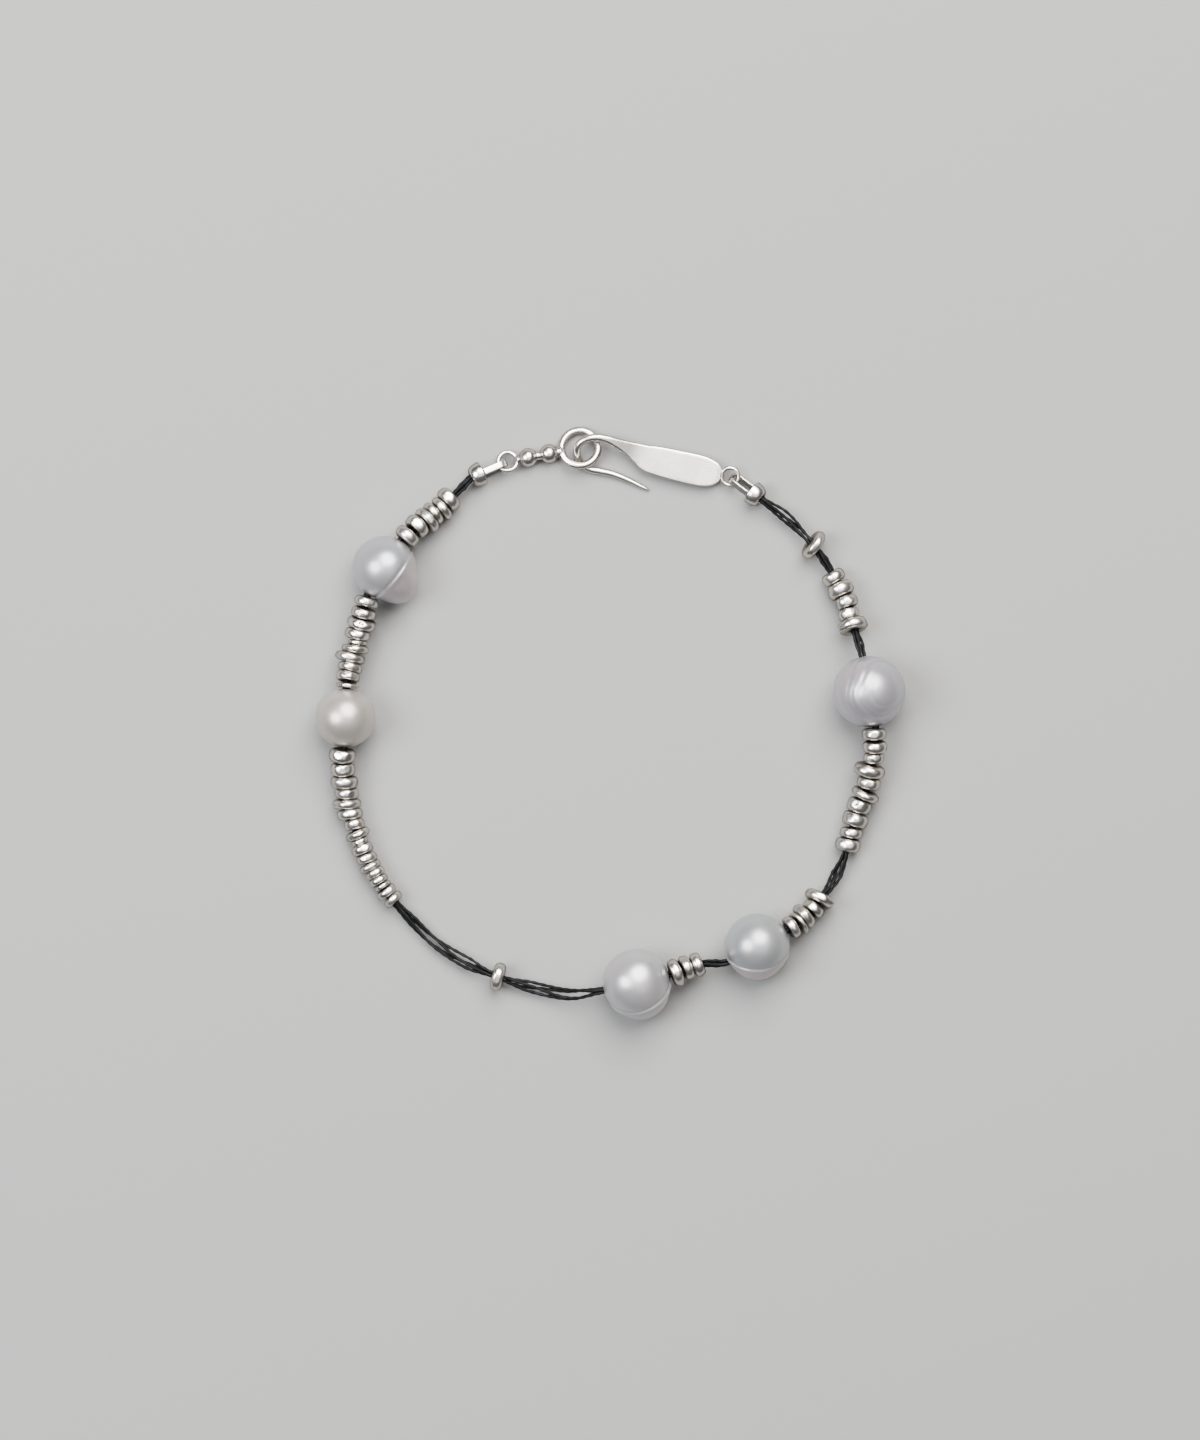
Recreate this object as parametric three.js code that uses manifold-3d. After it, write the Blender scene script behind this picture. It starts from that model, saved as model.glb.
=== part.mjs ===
// Pearl bracelet, fastened and lying flat. Five pearls and rows of small silver
// spacer beads hang on a cord, and a hook and a ring close it.
// Millimetres, +Z up. Seen from above, +X is right and +Y is away from the viewer.

import * as THREE from "three";
import { mergeVertices } from "three/addons/utils/BufferGeometryUtils.js";
import Module from "manifold-3d";

const wasm = await Module();
wasm.setup();

// Sizes

// Outer width of the closed bracelet. Positions in plan are shares of it.
const LOOP_WIDTH = 64;
const PEARL_DIAMETER = 7.2;
// Heights of the cord are shares of the bead's diameter.
const BEAD_DIAMETER = 2.75;
const BEAD_THICKNESS = 1.1;
const CORD_DIAMETER = 0.9;
// Room on each side of the cord in a bead's hole, and in a pearl's drilled hole.
const BEAD_SLACK = 0.3;
const DRILL_SLACK = 0.35;
// Room on each side of the cord inside a cord end.
const CAP_SLACK = 0.3;
// Smallest gap between neighbouring beads, and between a row and a pearl.
const GAP = 0.09;
const PEARL_GAP = 0.04;
// Depth by which soldered pieces run into each other.
const SOLDER = 0.12;

const RING_DIAMETER = 4.85;
const CLASP_WIRE = 0.87;
const BALL_DIAMETER = 2.15;
const BALL_SPACING = 2.3;
const COLLAR_DIAMETER = 1.15;
const SMALL_LOOP_DIAMETER = 2.6;
const SMALL_LOOP_WIRE = 0.54;

// From the centre of the ring to the centre of the hook's end loop.
const HOOK_LENGTH = 16.5;
const PADDLE_WIDTH = 3.45;
const END_LOOP_DIAMETER = 2.35;
const END_LOOP_WIRE = 0.48;

const CAP_DIAMETER = 2.7;
const CAP_DEPTH = 1.45;
const CAP_RIM = 0.25;
const CAP_BORE_DEPTH = 0.9;
// From the wire that it holds to the flat side of the cord end.
const BAIL_REACH = 1.95;
const BAIL_THICKNESS = 0.28;
const BAIL_WIDTH = 0.76;
// Half the distance between the middles of the bail's two arms.
const BAIL_HALF_SPREAD = 0.84;
// Play between the bail and the wire that it holds.
const BAIL_PLAY = 0.4;

const BEAD_SIDES = 12;
const FUSED_BEAD_SIDES = 10;
const PEARL_SIDES = 16;
const PEARL_RINGS = 12;
const DRILL_SIDES = 12;
const CORD_SIDES = 8;
const CORD_STEPS = 80;
const WIRE_SIDES = 6;
const RING_STEPS = 20;
const LOOP_STEPS = 16;
const BALL_SIDES = 12;
const BALL_RINGS = 8;
const COLLAR_SIDES = 10;
const CAP_SIDES = 14;
const CAP_STEPS = 4;
const BEND_STEPS = 7;
const ROUTE_STEPS = 2000;

// Turns a list of rows into objects with named columns.
function table(columns, rows) {
  return rows.map((row) => Object.fromEntries(columns.map((name, i) => [name, row[i]])));
}

// Pearls

// x, y: centre, shares of LOOP_WIDTH. turn: direction of the cord through it, degrees.
// long, wide, tall: shares of PEARL_DIAMETER along the cord, across it and upwards.
// lobe, away: diameter and distance of a second lobe, shares of PEARL_DIAMETER.
// bearing: direction of that lobe, degrees.
const PEARLS = table(
  ["name", "x", "y", "turn", "long", "wide", "tall", "lobe", "away", "bearing"],
  [
    ["pearl_upper_left", -0.381, 0.261, -121.3, 0.96, 0.96, 0.96, 0.57, 0.33, -50],
    ["pearl_left", -0.447, 0.008, -92.4, 0.89, 0.93, 0.92, 0, 0, 0],
    ["pearl_bottom", 0.043, -0.437, 13.6, 1.01, 1.01, 1.02, 0.93, 0.115, -67],
    ["pearl_lower_right", 0.247, -0.376, 28.9, 0.98, 0.98, 0.99, 0.84, 0.09, -90],
    ["pearl_right", 0.435, 0.052, 100.4, 1.07, 1.1, 1.08, 0, 0, 0],
  ],
);

// Route of the cord

// Points that the cord passes between two posts. A post is a cord end or a pearl.
// x, y: shares of LOOP_WIDTH. height: share of BEAD_DIAMETER.
const ROUTE_COLUMNS = ["x", "y", "height"];
const ROUTE_RUNS = [
  [
    [-0.269, 0.379, 0.56],
    [-0.305, 0.345, 0.78],
  ],
  [
    [-0.421, 0.161, 1.0],
    [-0.438, 0.104, 0.95],
  ],
  [
    [-0.451, -0.08, 0.89],
    [-0.444, -0.132, 0.62],
    [-0.428, -0.186, 0.56],
    [-0.408, -0.237, 0.52],
    [-0.382, -0.281, 0.52],
    [-0.345, -0.325, 0.38],
    [-0.3, -0.37, 0.31],
    [-0.247, -0.404, 0.44],
    [-0.192, -0.428, 0.59],
    [-0.129, -0.449, 0.38],
    [-0.068, -0.459, 0.69],
  ],
  [
    [0.149, -0.407, 1.05],
  ],
  [
    [0.321, -0.332, 0.95],
    [0.347, -0.305, 0.73],
    [0.372, -0.274, 0.55],
    [0.394, -0.229, 0.52],
    [0.409, -0.175, 0.58],
    [0.429, -0.121, 0.76],
    [0.442, -0.065, 1.05],
  ],
  [
    [0.41, 0.161, 0.95],
    [0.396, 0.207, 0.67],
    [0.375, 0.251, 0.56],
    [0.343, 0.298, 0.63],
    [0.301, 0.342, 0.49],
  ],
].map((rows) => table(ROUTE_COLUMNS, rows));

// Rows of spacer beads

// wide, thick: shares of BEAD_DIAMETER and BEAD_THICKNESS. tilt: turn of the bead's
// axis away from the cord, degrees seen from above. lean: its turn upwards, degrees.
// shift: sideways, share of BEAD_SLACK.
const BEAD_COLUMNS = ["wide", "thick", "tilt", "lean", "shift"];

// run: which run of the route the row is on. from, to: shares of the bare run.
// fused: the beads of the row touch and are one body.
const BEAD_ROWS = [
  {
    name: "spacer_upper_left",
    run: 0,
    from: 0.25,
    to: 1,
    beads: [
      [1.02, 1.2, 0, 2, -0.4],
      [1.04, 0.78, -3, -3, 0.3],
      [1.0, 0.78, 1, 2, -0.5],
      [1.14, 0.88, 7, 0, 0],
      [1.04, 1.18, 11, -5, -0.3],
      [1.04, 1.15, 10, -11, 0.5],
    ],
  },
  {
    name: "spacer_row_left",
    run: 1,
    from: 0,
    to: 1,
    fused: true,
    beads: [
      [0.98, 0.88, -1, 9, 0.3],
      [0.98, 0.98, -6, 5, 0],
      [1.16, 0.98, -3, -3, 0],
      [1.0, 0.98, 4, 0, -0.5],
      [0.74, 0.5, 10, 3, 0.5],
      [1.08, 0.8, 10, 0, 0.3],
      [1.2, 0.88, 0, -2, -0.5],
      [0.98, 0.88, -4, -3, 0.3],
      [0.96, 0.88, -2, -6, 0],
      [0.9, 0.5, 0, -9, 0.3],
    ],
  },
  {
    name: "spacer_row_lower_left",
    run: 2,
    from: 0,
    to: 0.411,
    fused: true,
    beads: [
      [1.04, 1.18, 0, 10, -0.35],
      [0.98, 1.18, -2, 7, -0.1],
      [1.1, 1.08, -8, 3, 0],
      [0.95, 0.98, -11, -1, 0.3],
      [1.12, 0.88, -10, 0, -0.4],
      [1.02, 0.98, -9, 2, -0.3],
      [0.8, 0.96, -8, 0, 0.1],
      [1.0, 0.8, 6, -2, 0.1],
      [0.68, 0.6, 3, 0, -0.1],
      [0.88, 0.88, 2, 3, -0.2],
      [0.84, 0.86, -4, 0, 0.1],
      [0.91, 0.7, 1, -2, -0.2],
      [0.8, 0.78, 1, 0, 0.3],
      [0.8, 0.7, -2, 2, 0],
      [0.72, 0.5, -2, 0, 0.2],
      [0.84, 0.78, 1, -3, 0],
      [0.82, 0.78, 5, 9, 0.3],
    ],
  },
  {
    name: "spacer_alone_bottom",
    run: 2,
    from: 0.711,
    to: 0.738,
    beads: [
      [1.14, 0.98, 6, 5, 0],
    ],
  },
  {
    name: "spacer_bottom",
    run: 3,
    from: 0,
    to: 0.575,
    beads: [
      [1.08, 0.98, 3, 8, 0],
      [0.98, 0.88, 4, 5, 0.2],
      [0.98, 0.98, 8, 1, 0],
    ],
  },
  {
    name: "spacer_lower_right",
    run: 4,
    from: 0,
    to: 0.231,
    beads: [
      [0.94, 1.0, 3, 11, -0.2],
      [1.02, 0.5, 2, 8, -0.5],
      [1.1, 1.1, -2, 4, 0.2],
      [0.88, 1.1, 4, -2, -0.4],
      [1.22, 1.15, 14, 2, 0.3],
    ],
  },
  {
    name: "spacer_right",
    run: 4,
    from: 0.448,
    to: 1,
    beads: [
      [1.02, 1.18, 4, 3, 0],
      [0.9, 0.98, 9, 0, -0.2],
      [1.06, 1.27, 2, -3, 0],
      [0.98, 1.27, 4, 0, 0.6],
      [1.14, 0.78, -9, 2, -0.2],
      [0.94, 1.08, 4, 0, -0.2],
      [1.24, 1.15, -2, -2, 0.6],
      [0.8, 0.98, 8, -3, -0.1],
      [0.98, 1.08, 5, -6, 0],
      [0.98, 1.08, 1, -10, 0.6],
    ],
  },
  {
    name: "spacer_upper_right",
    run: 5,
    from: 0.147,
    to: 0.48,
    beads: [
      [1.2, 1.05, 1, 0, 0.1],
      [0.84, 0.98, -2, 3, 0.4],
      [0.9, 1.08, 2, 0, -0.2],
      [1.08, 1.25, 1, -3, 0.1],
      [0.94, 1.08, 1, 2, 0.3],
    ],
  },
  {
    name: "spacer_alone_right",
    run: 5,
    from: 0.62,
    to: 0.672,
    beads: [
      [1.24, 0.95, 15, 14, -0.2],
    ],
  },
].map((row) => ({ ...row, beads: table(BEAD_COLUMNS, row.beads) }));

// Clasp

// Centre of the ring in plan, shares of LOOP_WIDTH, and the directions of the two
// halves of the clasp, degrees. The ring's half runs to the left, the hook's to the right.
const CLASP = { x: -0.052, y: 0.464, ringTurn: 10.5, hookTurn: -14 };
// The ring leans so that the hook's tail passes under it and its curl over it.
const RING_LEAN = -15;
// Where on the two loops the cord ends hold them, directions of the cord ends, and
// their turns about their own lengths, all in degrees.
const LEFT_END = { grip: 208, turn: 204, roll: 0 };
const RIGHT_END = { grip: -34, turn: -37, roll: 32 };
const END_LOOP_LEAN = 8;

// Sections of the hook from the tip of its tail to the end of its paddle.
// x, y: shares of HOOK_LENGTH from the ring's centre, along and across the paddle.
// height, thick: shares of CLASP_WIRE. wide: share of PADDLE_WIDTH.
const HOOK_SECTIONS = table(
  ["x", "y", "height", "wide", "thick"],
  [
    [0.515, -0.158, 0.32, 0.046, 0.18],
    [0.465, -0.148, 0.37, 0.122, 0.48],
    [0.344, -0.123, 0.44, 0.191, 0.76],
    [0.247, -0.112, 0.49, 0.22, 0.87],
    [0.167, -0.114, 0.53, 0.243, 0.97],
    [0.103, -0.117, 0.55, 0.252, 1],
    [0.053, -0.104, 0.57, 0.252, 1],
    [0.012, -0.073, 0.84, 0.252, 1],
    [-0.011, -0.033, 1.42, 0.252, 1],
    [-0.013, 0.012, 1.93, 0.252, 1],
    [0.008, 0.047, 2.18, 0.252, 1],
    [0.048, 0.076, 2.32, 0.252, 1],
    [0.101, 0.094, 2.32, 0.261, 1],
    [0.158, 0.097, 2.18, 0.284, 0.98],
    [0.217, 0.09, 1.93, 0.333, 0.92],
    [0.28, 0.08, 1.63, 0.42, 0.86],
    [0.337, 0.069, 1.38, 0.536, 0.8],
    [0.395, 0.055, 1.24, 0.696, 0.8],
    [0.455, 0.041, 1.21, 0.87, 0.8],
    [0.533, 0.04, 1.21, 0.942, 0.8],
    [0.647, 0.041, 1.21, 0.986, 0.8],
    [0.772, 0.044, 1.21, 1, 0.8],
    [0.842, 0.046, 1.21, 0.942, 0.8],
    [0.902, 0.049, 1.21, 0.754, 0.8],
    [0.939, 0.05, 1.21, 0.435, 0.69],
  ],
);
// Place of the end loop beside the paddle, in the same shares.
const END_LOOP = { x: 1, y: 0.057, height: 1.21 };
// Corner cut of a section, share of half its thickness. It makes a wire's section a
// regular octagon.
const SECTION_CORNER = 0.586;

const UP = new THREE.Vector3(0, 0, 1);

// Materials

function silver() {
  return new THREE.MeshStandardMaterial({ color: 0xd9d7d2, metalness: 1, roughness: 0.25 });
}

function nacre() {
  return new THREE.MeshStandardMaterial({ color: 0xe4e2e6, metalness: 0, roughness: 0.3 });
}

function waxedCord() {
  return new THREE.MeshStandardMaterial({ color: 0x16161a, metalness: 0, roughness: 0.8 });
}

// Solids

function toSolid(geometry) {
  const bare = geometry.clone();
  bare.deleteAttribute("normal");
  bare.deleteAttribute("uv");
  const merged = mergeVertices(bare, 1e-5);
  const mesh = new wasm.Mesh({
    numProp: 3,
    vertProperties: new Float32Array(merged.attributes.position.array),
    triVerts: new Uint32Array(merged.index.array),
  });
  return new wasm.Manifold(mesh);
}

function toGeometry(solid) {
  const mesh = solid.getMesh();
  const geometry = new THREE.BufferGeometry();
  geometry.setAttribute("position", new THREE.BufferAttribute(mesh.vertProperties, 3));
  geometry.setIndex(new THREE.BufferAttribute(mesh.triVerts, 1));
  geometry.computeVertexNormals();
  return geometry;
}

function join(geometries) {
  const solids = geometries.map(toSolid);
  return toGeometry(solids.reduce((whole, piece) => whole.add(piece)));
}

// A named mesh with its own material.
function made(name, geometry, material) {
  const mesh = new THREE.Mesh(geometry, material);
  mesh.name = name;
  return mesh;
}

// Puts an object in a place given by its origin and its three axes.
function setDown(object, origin, xAxis, yAxis, zAxis) {
  object.position.copy(origin);
  object.quaternion.setFromRotationMatrix(new THREE.Matrix4().makeBasis(xAxis, yAxis, zAxis));
  return object;
}

// Frame on a direction: its own length, the level direction to its left, and the rest.
function levelFrame(direction) {
  const along = direction.clone().normalize();
  const left = new THREE.Vector3().crossVectors(UP, along).normalize();
  const over = new THREE.Vector3().crossVectors(along, left);
  return { along, left, over };
}

function heading(degrees) {
  const angle = THREE.MathUtils.degToRad(degrees);
  return new THREE.Vector3(Math.cos(angle), Math.sin(angle), 0);
}

function turned(vector, degrees) {
  return vector.clone().applyAxisAngle(UP, THREE.MathUtils.degToRad(degrees));
}

// Hook

function hookPoint(share) {
  const flat = new THREE.Vector3(share.x * HOOK_LENGTH, share.y * HOOK_LENGTH, 0);
  const point = turned(flat, CLASP.hookTurn);
  point.x += CLASP.x * LOOP_WIDTH;
  point.y += CLASP.y * LOOP_WIDTH;
  point.z = share.height * CLASP_WIRE;
  return point;
}

// Corners of a section, starting at its right and going up and round to the left.
function sectionCorners(wide, thick) {
  const cut = (SECTION_CORNER * thick) / 2;
  const w = wide / 2;
  const t = thick / 2;
  return [
    [w, -t + cut],
    [w, t - cut],
    [w - cut, t],
    [-w + cut, t],
    [-w, t - cut],
    [-w, -t + cut],
    [-w + cut, -t],
    [w - cut, -t],
  ];
}

// One closed skin over the sections, with a fan over each end.
function hookBody() {
  const centres = HOOK_SECTIONS.map(hookPoint);
  const positions = [];
  const indices = [];
  const last = centres.length - 1;
  let sides = 0;
  centres.forEach((centre, i) => {
    const ahead = centres[Math.min(i + 1, last)];
    const behind = centres[Math.max(i - 1, 0)];
    const { left, over } = levelFrame(new THREE.Vector3().subVectors(ahead, behind));
    const { wide, thick } = HOOK_SECTIONS[i];
    const corners = sectionCorners(wide * PADDLE_WIDTH, thick * CLASP_WIRE);
    sides = corners.length;
    for (const [across, up] of corners) {
      const corner = centre.clone().addScaledVector(left, -across).addScaledVector(over, up);
      positions.push(...corner.toArray());
    }
  });
  for (let i = 0; i < last; i++) {
    for (let k = 0; k < sides; k++) {
      const a = i * sides + k;
      const b = i * sides + ((k + 1) % sides);
      indices.push(a, b + sides, b, a, a + sides, b + sides);
    }
  }
  for (const [ring, flip] of [[0, false], [last, true]]) {
    const middle = positions.length / 3;
    positions.push(...centres[ring].toArray());
    for (let k = 0; k < sides; k++) {
      const a = ring * sides + k;
      const b = ring * sides + ((k + 1) % sides);
      indices.push(...(flip ? [b, a, middle] : [a, b, middle]));
    }
  }
  const geometry = new THREE.BufferGeometry();
  geometry.setAttribute("position", new THREE.Float32BufferAttribute(positions, 3));
  geometry.setIndex(indices);
  return geometry;
}

function wireLoop(outerDiameter, wire, around) {
  return new THREE.TorusGeometry((outerDiameter - wire) / 2, wire / 2, WIRE_SIDES, around);
}

// Frame of the end loop: level, but turned about the paddle's length.
function endLoopFrame() {
  const along = heading(CLASP.hookTurn);
  const over = UP.clone().applyAxisAngle(along, THREE.MathUtils.degToRad(END_LOOP_LEAN));
  const left = new THREE.Vector3().crossVectors(over, along);
  return { along, left, over };
}

function hook() {
  const { along, left, over } = endLoopFrame();
  const inPlace = new THREE.Matrix4().makeBasis(along, left, over).setPosition(hookPoint(END_LOOP));
  const loop = wireLoop(END_LOOP_DIAMETER, END_LOOP_WIRE, LOOP_STEPS).applyMatrix4(inPlace);
  return made("clasp_hook", join([hookBody(), loop]), silver());
}

// Ring with two balls and a small loop

function ringFrame() {
  const along = heading(CLASP.ringTurn);
  const over = UP.clone().applyAxisAngle(along, THREE.MathUtils.degToRad(RING_LEAN));
  const left = new THREE.Vector3().crossVectors(over, along);
  const origin = new THREE.Vector3(CLASP.x * LOOP_WIDTH, CLASP.y * LOOP_WIDTH, BALL_DIAMETER / 2);
  return { origin, along, left, over };
}

// Distances of the balls and of the small loop from the ring's centre.
function ringPieceStations() {
  const nearBall = RING_DIAMETER / 2 + BALL_DIAMETER / 2 - SOLDER;
  const farBall = nearBall + BALL_SPACING;
  const smallLoop = farBall + BALL_DIAMETER / 2 + SMALL_LOOP_DIAMETER / 2 - SOLDER;
  return { nearBall, farBall, smallLoop };
}

function ringPiece() {
  const { nearBall, farBall, smallLoop } = ringPieceStations();
  const ball = (distance) => {
    const sphere = new THREE.SphereGeometry(BALL_DIAMETER / 2, BALL_SIDES, BALL_RINGS);
    return sphere.rotateZ(Math.PI / 2).translate(-distance, 0, 0);
  };
  const collar = (from, to) => {
    const radius = COLLAR_DIAMETER / 2;
    const cylinder = new THREE.CylinderGeometry(radius, radius, to - from, COLLAR_SIDES);
    return cylinder.rotateZ(Math.PI / 2).translate(-(from + to) / 2, 0, 0);
  };
  const geometry = join([
    wireLoop(RING_DIAMETER, CLASP_WIRE, RING_STEPS),
    collar((RING_DIAMETER - CLASP_WIRE) / 2, nearBall),
    ball(nearBall),
    collar(nearBall, farBall),
    ball(farBall),
    collar(farBall, smallLoop - (SMALL_LOOP_DIAMETER - SMALL_LOOP_WIRE) / 2),
    wireLoop(SMALL_LOOP_DIAMETER, SMALL_LOOP_WIRE, LOOP_STEPS).translate(-smallLoop, 0, 0),
  ]);
  const { origin, along, left, over } = ringFrame();
  return setDown(made("clasp_ring", geometry, silver()), origin, along, left, over);
}

// Cord ends

// Point on the middle of a loop's wire in the direction that is asked for.
function pointOnLoop(centre, over, diameter, wire, degrees) {
  const flat = heading(degrees);
  const inPlane = flat.addScaledVector(over, -flat.dot(over)).normalize();
  return centre.clone().addScaledVector(inPlane, (diameter - wire) / 2);
}

// Frame of a cord end: it starts in the wire that the bail holds and rises so that
// the cap stays just clear of the ground.
function cordEndFrame(held, end) {
  const rise = (CAP_DIAMETER / 2 + GAP - held.z) / BAIL_REACH;
  const direction = heading(end.turn);
  direction.z = rise;
  const { along, left, over } = levelFrame(direction);
  const angle = THREE.MathUtils.degToRad(end.roll);
  return {
    origin: held,
    along,
    left: left.applyAxisAngle(along, angle),
    over: over.applyAxisAngle(along, angle),
  };
}

function leftEndFrame() {
  const { origin, along, over } = ringFrame();
  const centre = origin.addScaledVector(along, -ringPieceStations().smallLoop);
  const held = pointOnLoop(centre, over, SMALL_LOOP_DIAMETER, SMALL_LOOP_WIRE, LEFT_END.grip);
  return cordEndFrame(held, LEFT_END);
}

function rightEndFrame() {
  const { over } = endLoopFrame();
  const centre = hookPoint(END_LOOP);
  const held = pointOnLoop(centre, over, END_LOOP_DIAMETER, END_LOOP_WIRE, RIGHT_END.grip);
  return cordEndFrame(held, RIGHT_END);
}

// Flat strap bent into a U that holds the wire at the origin, arms along +X.
function bail(wire) {
  const inner = BAIL_HALF_SPREAD - BAIL_THICKNESS / 2;
  const outer = BAIL_HALF_SPREAD + BAIL_THICKNESS / 2;
  const bend = inner - wire / 2 - BAIL_PLAY;
  const end = BAIL_REACH + SOLDER;
  const shape = new THREE.Shape();
  shape.moveTo(end, outer);
  shape.lineTo(bend, outer);
  shape.absarc(bend, 0, outer, Math.PI / 2, (Math.PI * 3) / 2, false);
  shape.lineTo(end, -outer);
  shape.lineTo(end, -inner);
  shape.lineTo(bend, -inner);
  shape.absarc(bend, 0, inner, (Math.PI * 3) / 2, Math.PI / 2, true);
  shape.lineTo(end, inner);
  const options = { depth: BAIL_WIDTH, bevelEnabled: false, curveSegments: BEND_STEPS };
  const strap = new THREE.ExtrudeGeometry(shape, options);
  return strap.translate(0, 0, -BAIL_WIDTH / 2).rotateX(Math.PI / 2);
}

// Half-round cap with its flat side to the bail and a blind bore for the cord.
function cap() {
  const bore = CORD_DIAMETER / 2 + CAP_SLACK;
  const radius = CAP_DIAMETER / 2;
  const top = BAIL_REACH + CAP_DEPTH;
  const profile = [
    new THREE.Vector2(0, BAIL_REACH),
    new THREE.Vector2(radius, BAIL_REACH),
    new THREE.Vector2(radius, BAIL_REACH + CAP_RIM),
  ];
  for (let i = 1; i <= CAP_STEPS; i++) {
    const angle = ((i / CAP_STEPS) * Math.PI) / 2;
    const r = bore + (radius - bore) * Math.cos(angle);
    const height = CAP_RIM + (CAP_DEPTH - CAP_RIM) * Math.sin(angle);
    profile.push(new THREE.Vector2(r, BAIL_REACH + height));
  }
  profile.push(new THREE.Vector2(bore, top - CAP_BORE_DEPTH));
  profile.push(new THREE.Vector2(0, top - CAP_BORE_DEPTH));
  return new THREE.LatheGeometry(profile, CAP_SIDES).rotateZ(-Math.PI / 2);
}

function cordEnd(name, frame, wire) {
  const mesh = made(name, join([cap(), bail(wire)]), silver());
  return setDown(mesh, frame.origin, frame.along, frame.left, frame.over);
}

// Place of the cord's own end inside a cap.
function cordTip(frame) {
  const depth = BAIL_REACH + CAP_DEPTH - CAP_BORE_DEPTH + CAP_SLACK;
  return frame.origin.clone().addScaledVector(frame.along, depth);
}

function capMouth(frame) {
  return frame.origin.clone().addScaledVector(frame.along, BAIL_REACH + CAP_DEPTH);
}

// Cord

function pearlCentre(pearl) {
  const z = (pearl.tall * PEARL_DIAMETER) / 2;
  return new THREE.Vector3(pearl.x * LOOP_WIDTH, pearl.y * LOOP_WIDTH, z);
}

// The route's curve with the distances along it at which each run begins and ends.
function cordRoute() {
  const points = [];
  const marks = [];
  const leftEnd = leftEndFrame();
  const rightEnd = rightEndFrame();
  points.push(cordTip(leftEnd), capMouth(leftEnd));
  marks.push({ after: points.length - 1 });
  ROUTE_RUNS.forEach((run, i) => {
    for (const point of run) {
      const place = new THREE.Vector3(point.x, point.y, 0).multiplyScalar(LOOP_WIDTH);
      place.z = point.height * BEAD_DIAMETER;
      points.push(place);
    }
    const pearl = PEARLS[i];
    if (!pearl) {
      return;
    }
    const half = heading(pearl.turn).multiplyScalar((pearl.long * PEARL_DIAMETER) / 2);
    const centre = pearlCentre(pearl);
    points.push(centre.clone().sub(half));
    marks[i].before = points.length - 1;
    points.push(centre, centre.clone().add(half));
    marks.push({ after: points.length - 1 });
  });
  points.push(capMouth(rightEnd));
  marks[marks.length - 1].before = points.length - 1;
  points.push(cordTip(rightEnd));
  const curve = new THREE.CatmullRomCurve3(points, false, "catmullrom", 0.5);
  curve.arcLengthDivisions = ROUTE_STEPS;
  const lengths = curve.getLengths();
  const distanceAt = (index) => {
    const place = (index / (points.length - 1)) * curve.arcLengthDivisions;
    const low = Math.floor(place);
    const high = Math.min(low + 1, lengths.length - 1);
    return lengths[low] + (lengths[high] - lengths[low]) * (place - low);
  };
  const runs = marks.map((mark) => ({
    start: distanceAt(mark.after),
    end: distanceAt(mark.before),
  }));
  return { curve, length: lengths[lengths.length - 1], runs };
}

function cord(route) {
  const section = new THREE.Shape();
  for (let i = 0; i < CORD_SIDES; i++) {
    const angle = (i / CORD_SIDES) * Math.PI * 2;
    const x = (Math.cos(angle) * CORD_DIAMETER) / 2;
    const y = (Math.sin(angle) * CORD_DIAMETER) / 2;
    if (i === 0) {
      section.moveTo(x, y);
    } else {
      section.lineTo(x, y);
    }
  }
  const options = { steps: CORD_STEPS, extrudePath: route.curve, bevelEnabled: false };
  return made("cord", new THREE.ExtrudeGeometry(section, options), waxedCord());
}

// Pearls on the cord

// Distance from the pearl's centre to its skin in a direction given in its own frame.
function pearlReach(pearl, direction) {
  const main = new THREE.Vector3(pearl.wide, pearl.tall, pearl.long).multiplyScalar(PEARL_DIAMETER / 2);
  const body = 1 / direction.clone().divide(main).length();
  if (pearl.lobe === 0) {
    return body;
  }
  const angle = THREE.MathUtils.degToRad(pearl.bearing - pearl.turn);
  const offset = new THREE.Vector3(Math.sin(angle), 0, Math.cos(angle));
  offset.multiplyScalar(pearl.away * PEARL_DIAMETER);
  const radius = (pearl.lobe * PEARL_DIAMETER) / 2;
  const along = direction.dot(offset);
  const reach = radius ** 2 - offset.lengthSq() + along ** 2;
  if (reach <= 0) {
    return body;
  }
  return Math.max(body, along + Math.sqrt(reach));
}

// Own frame: +Z along the cord, +Y up, +X to the left of the cord.
function pearl(shape) {
  const sphere = new THREE.SphereGeometry(1, PEARL_SIDES, PEARL_RINGS).rotateX(Math.PI / 2);
  const corners = sphere.attributes.position;
  for (let i = 0; i < corners.count; i++) {
    const direction = new THREE.Vector3().fromBufferAttribute(corners, i).normalize();
    direction.multiplyScalar(pearlReach(shape, direction));
    corners.setXYZ(i, direction.x, direction.y, direction.z);
  }
  const radius = CORD_DIAMETER / 2 + DRILL_SLACK;
  const drill = new THREE.CylinderGeometry(radius, radius, PEARL_DIAMETER * 2, DRILL_SIDES);
  const geometry = toGeometry(toSolid(sphere).subtract(toSolid(drill.rotateX(Math.PI / 2))));
  const along = heading(shape.turn);
  const left = new THREE.Vector3().crossVectors(UP, along);
  return setDown(made(shape.name, geometry, nacre()), pearlCentre(shape), left, UP, along);
}

// Spacer beads

// Shares of a spacer's radius and half thickness at which its profile turns.
const SHOULDER = 0.68;
const RIM_HALF_HEIGHT = 0.45;
const HOLE_HALF_HEIGHT = 0.82;
// Smallest radius of the shoulder, share of the hole's radius.
const LEAST_SHOULDER = 1.08;
// Share of the room for tilted neighbours that is left where a row is one body.
const FUSED_SWING = 0.4;

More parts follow.
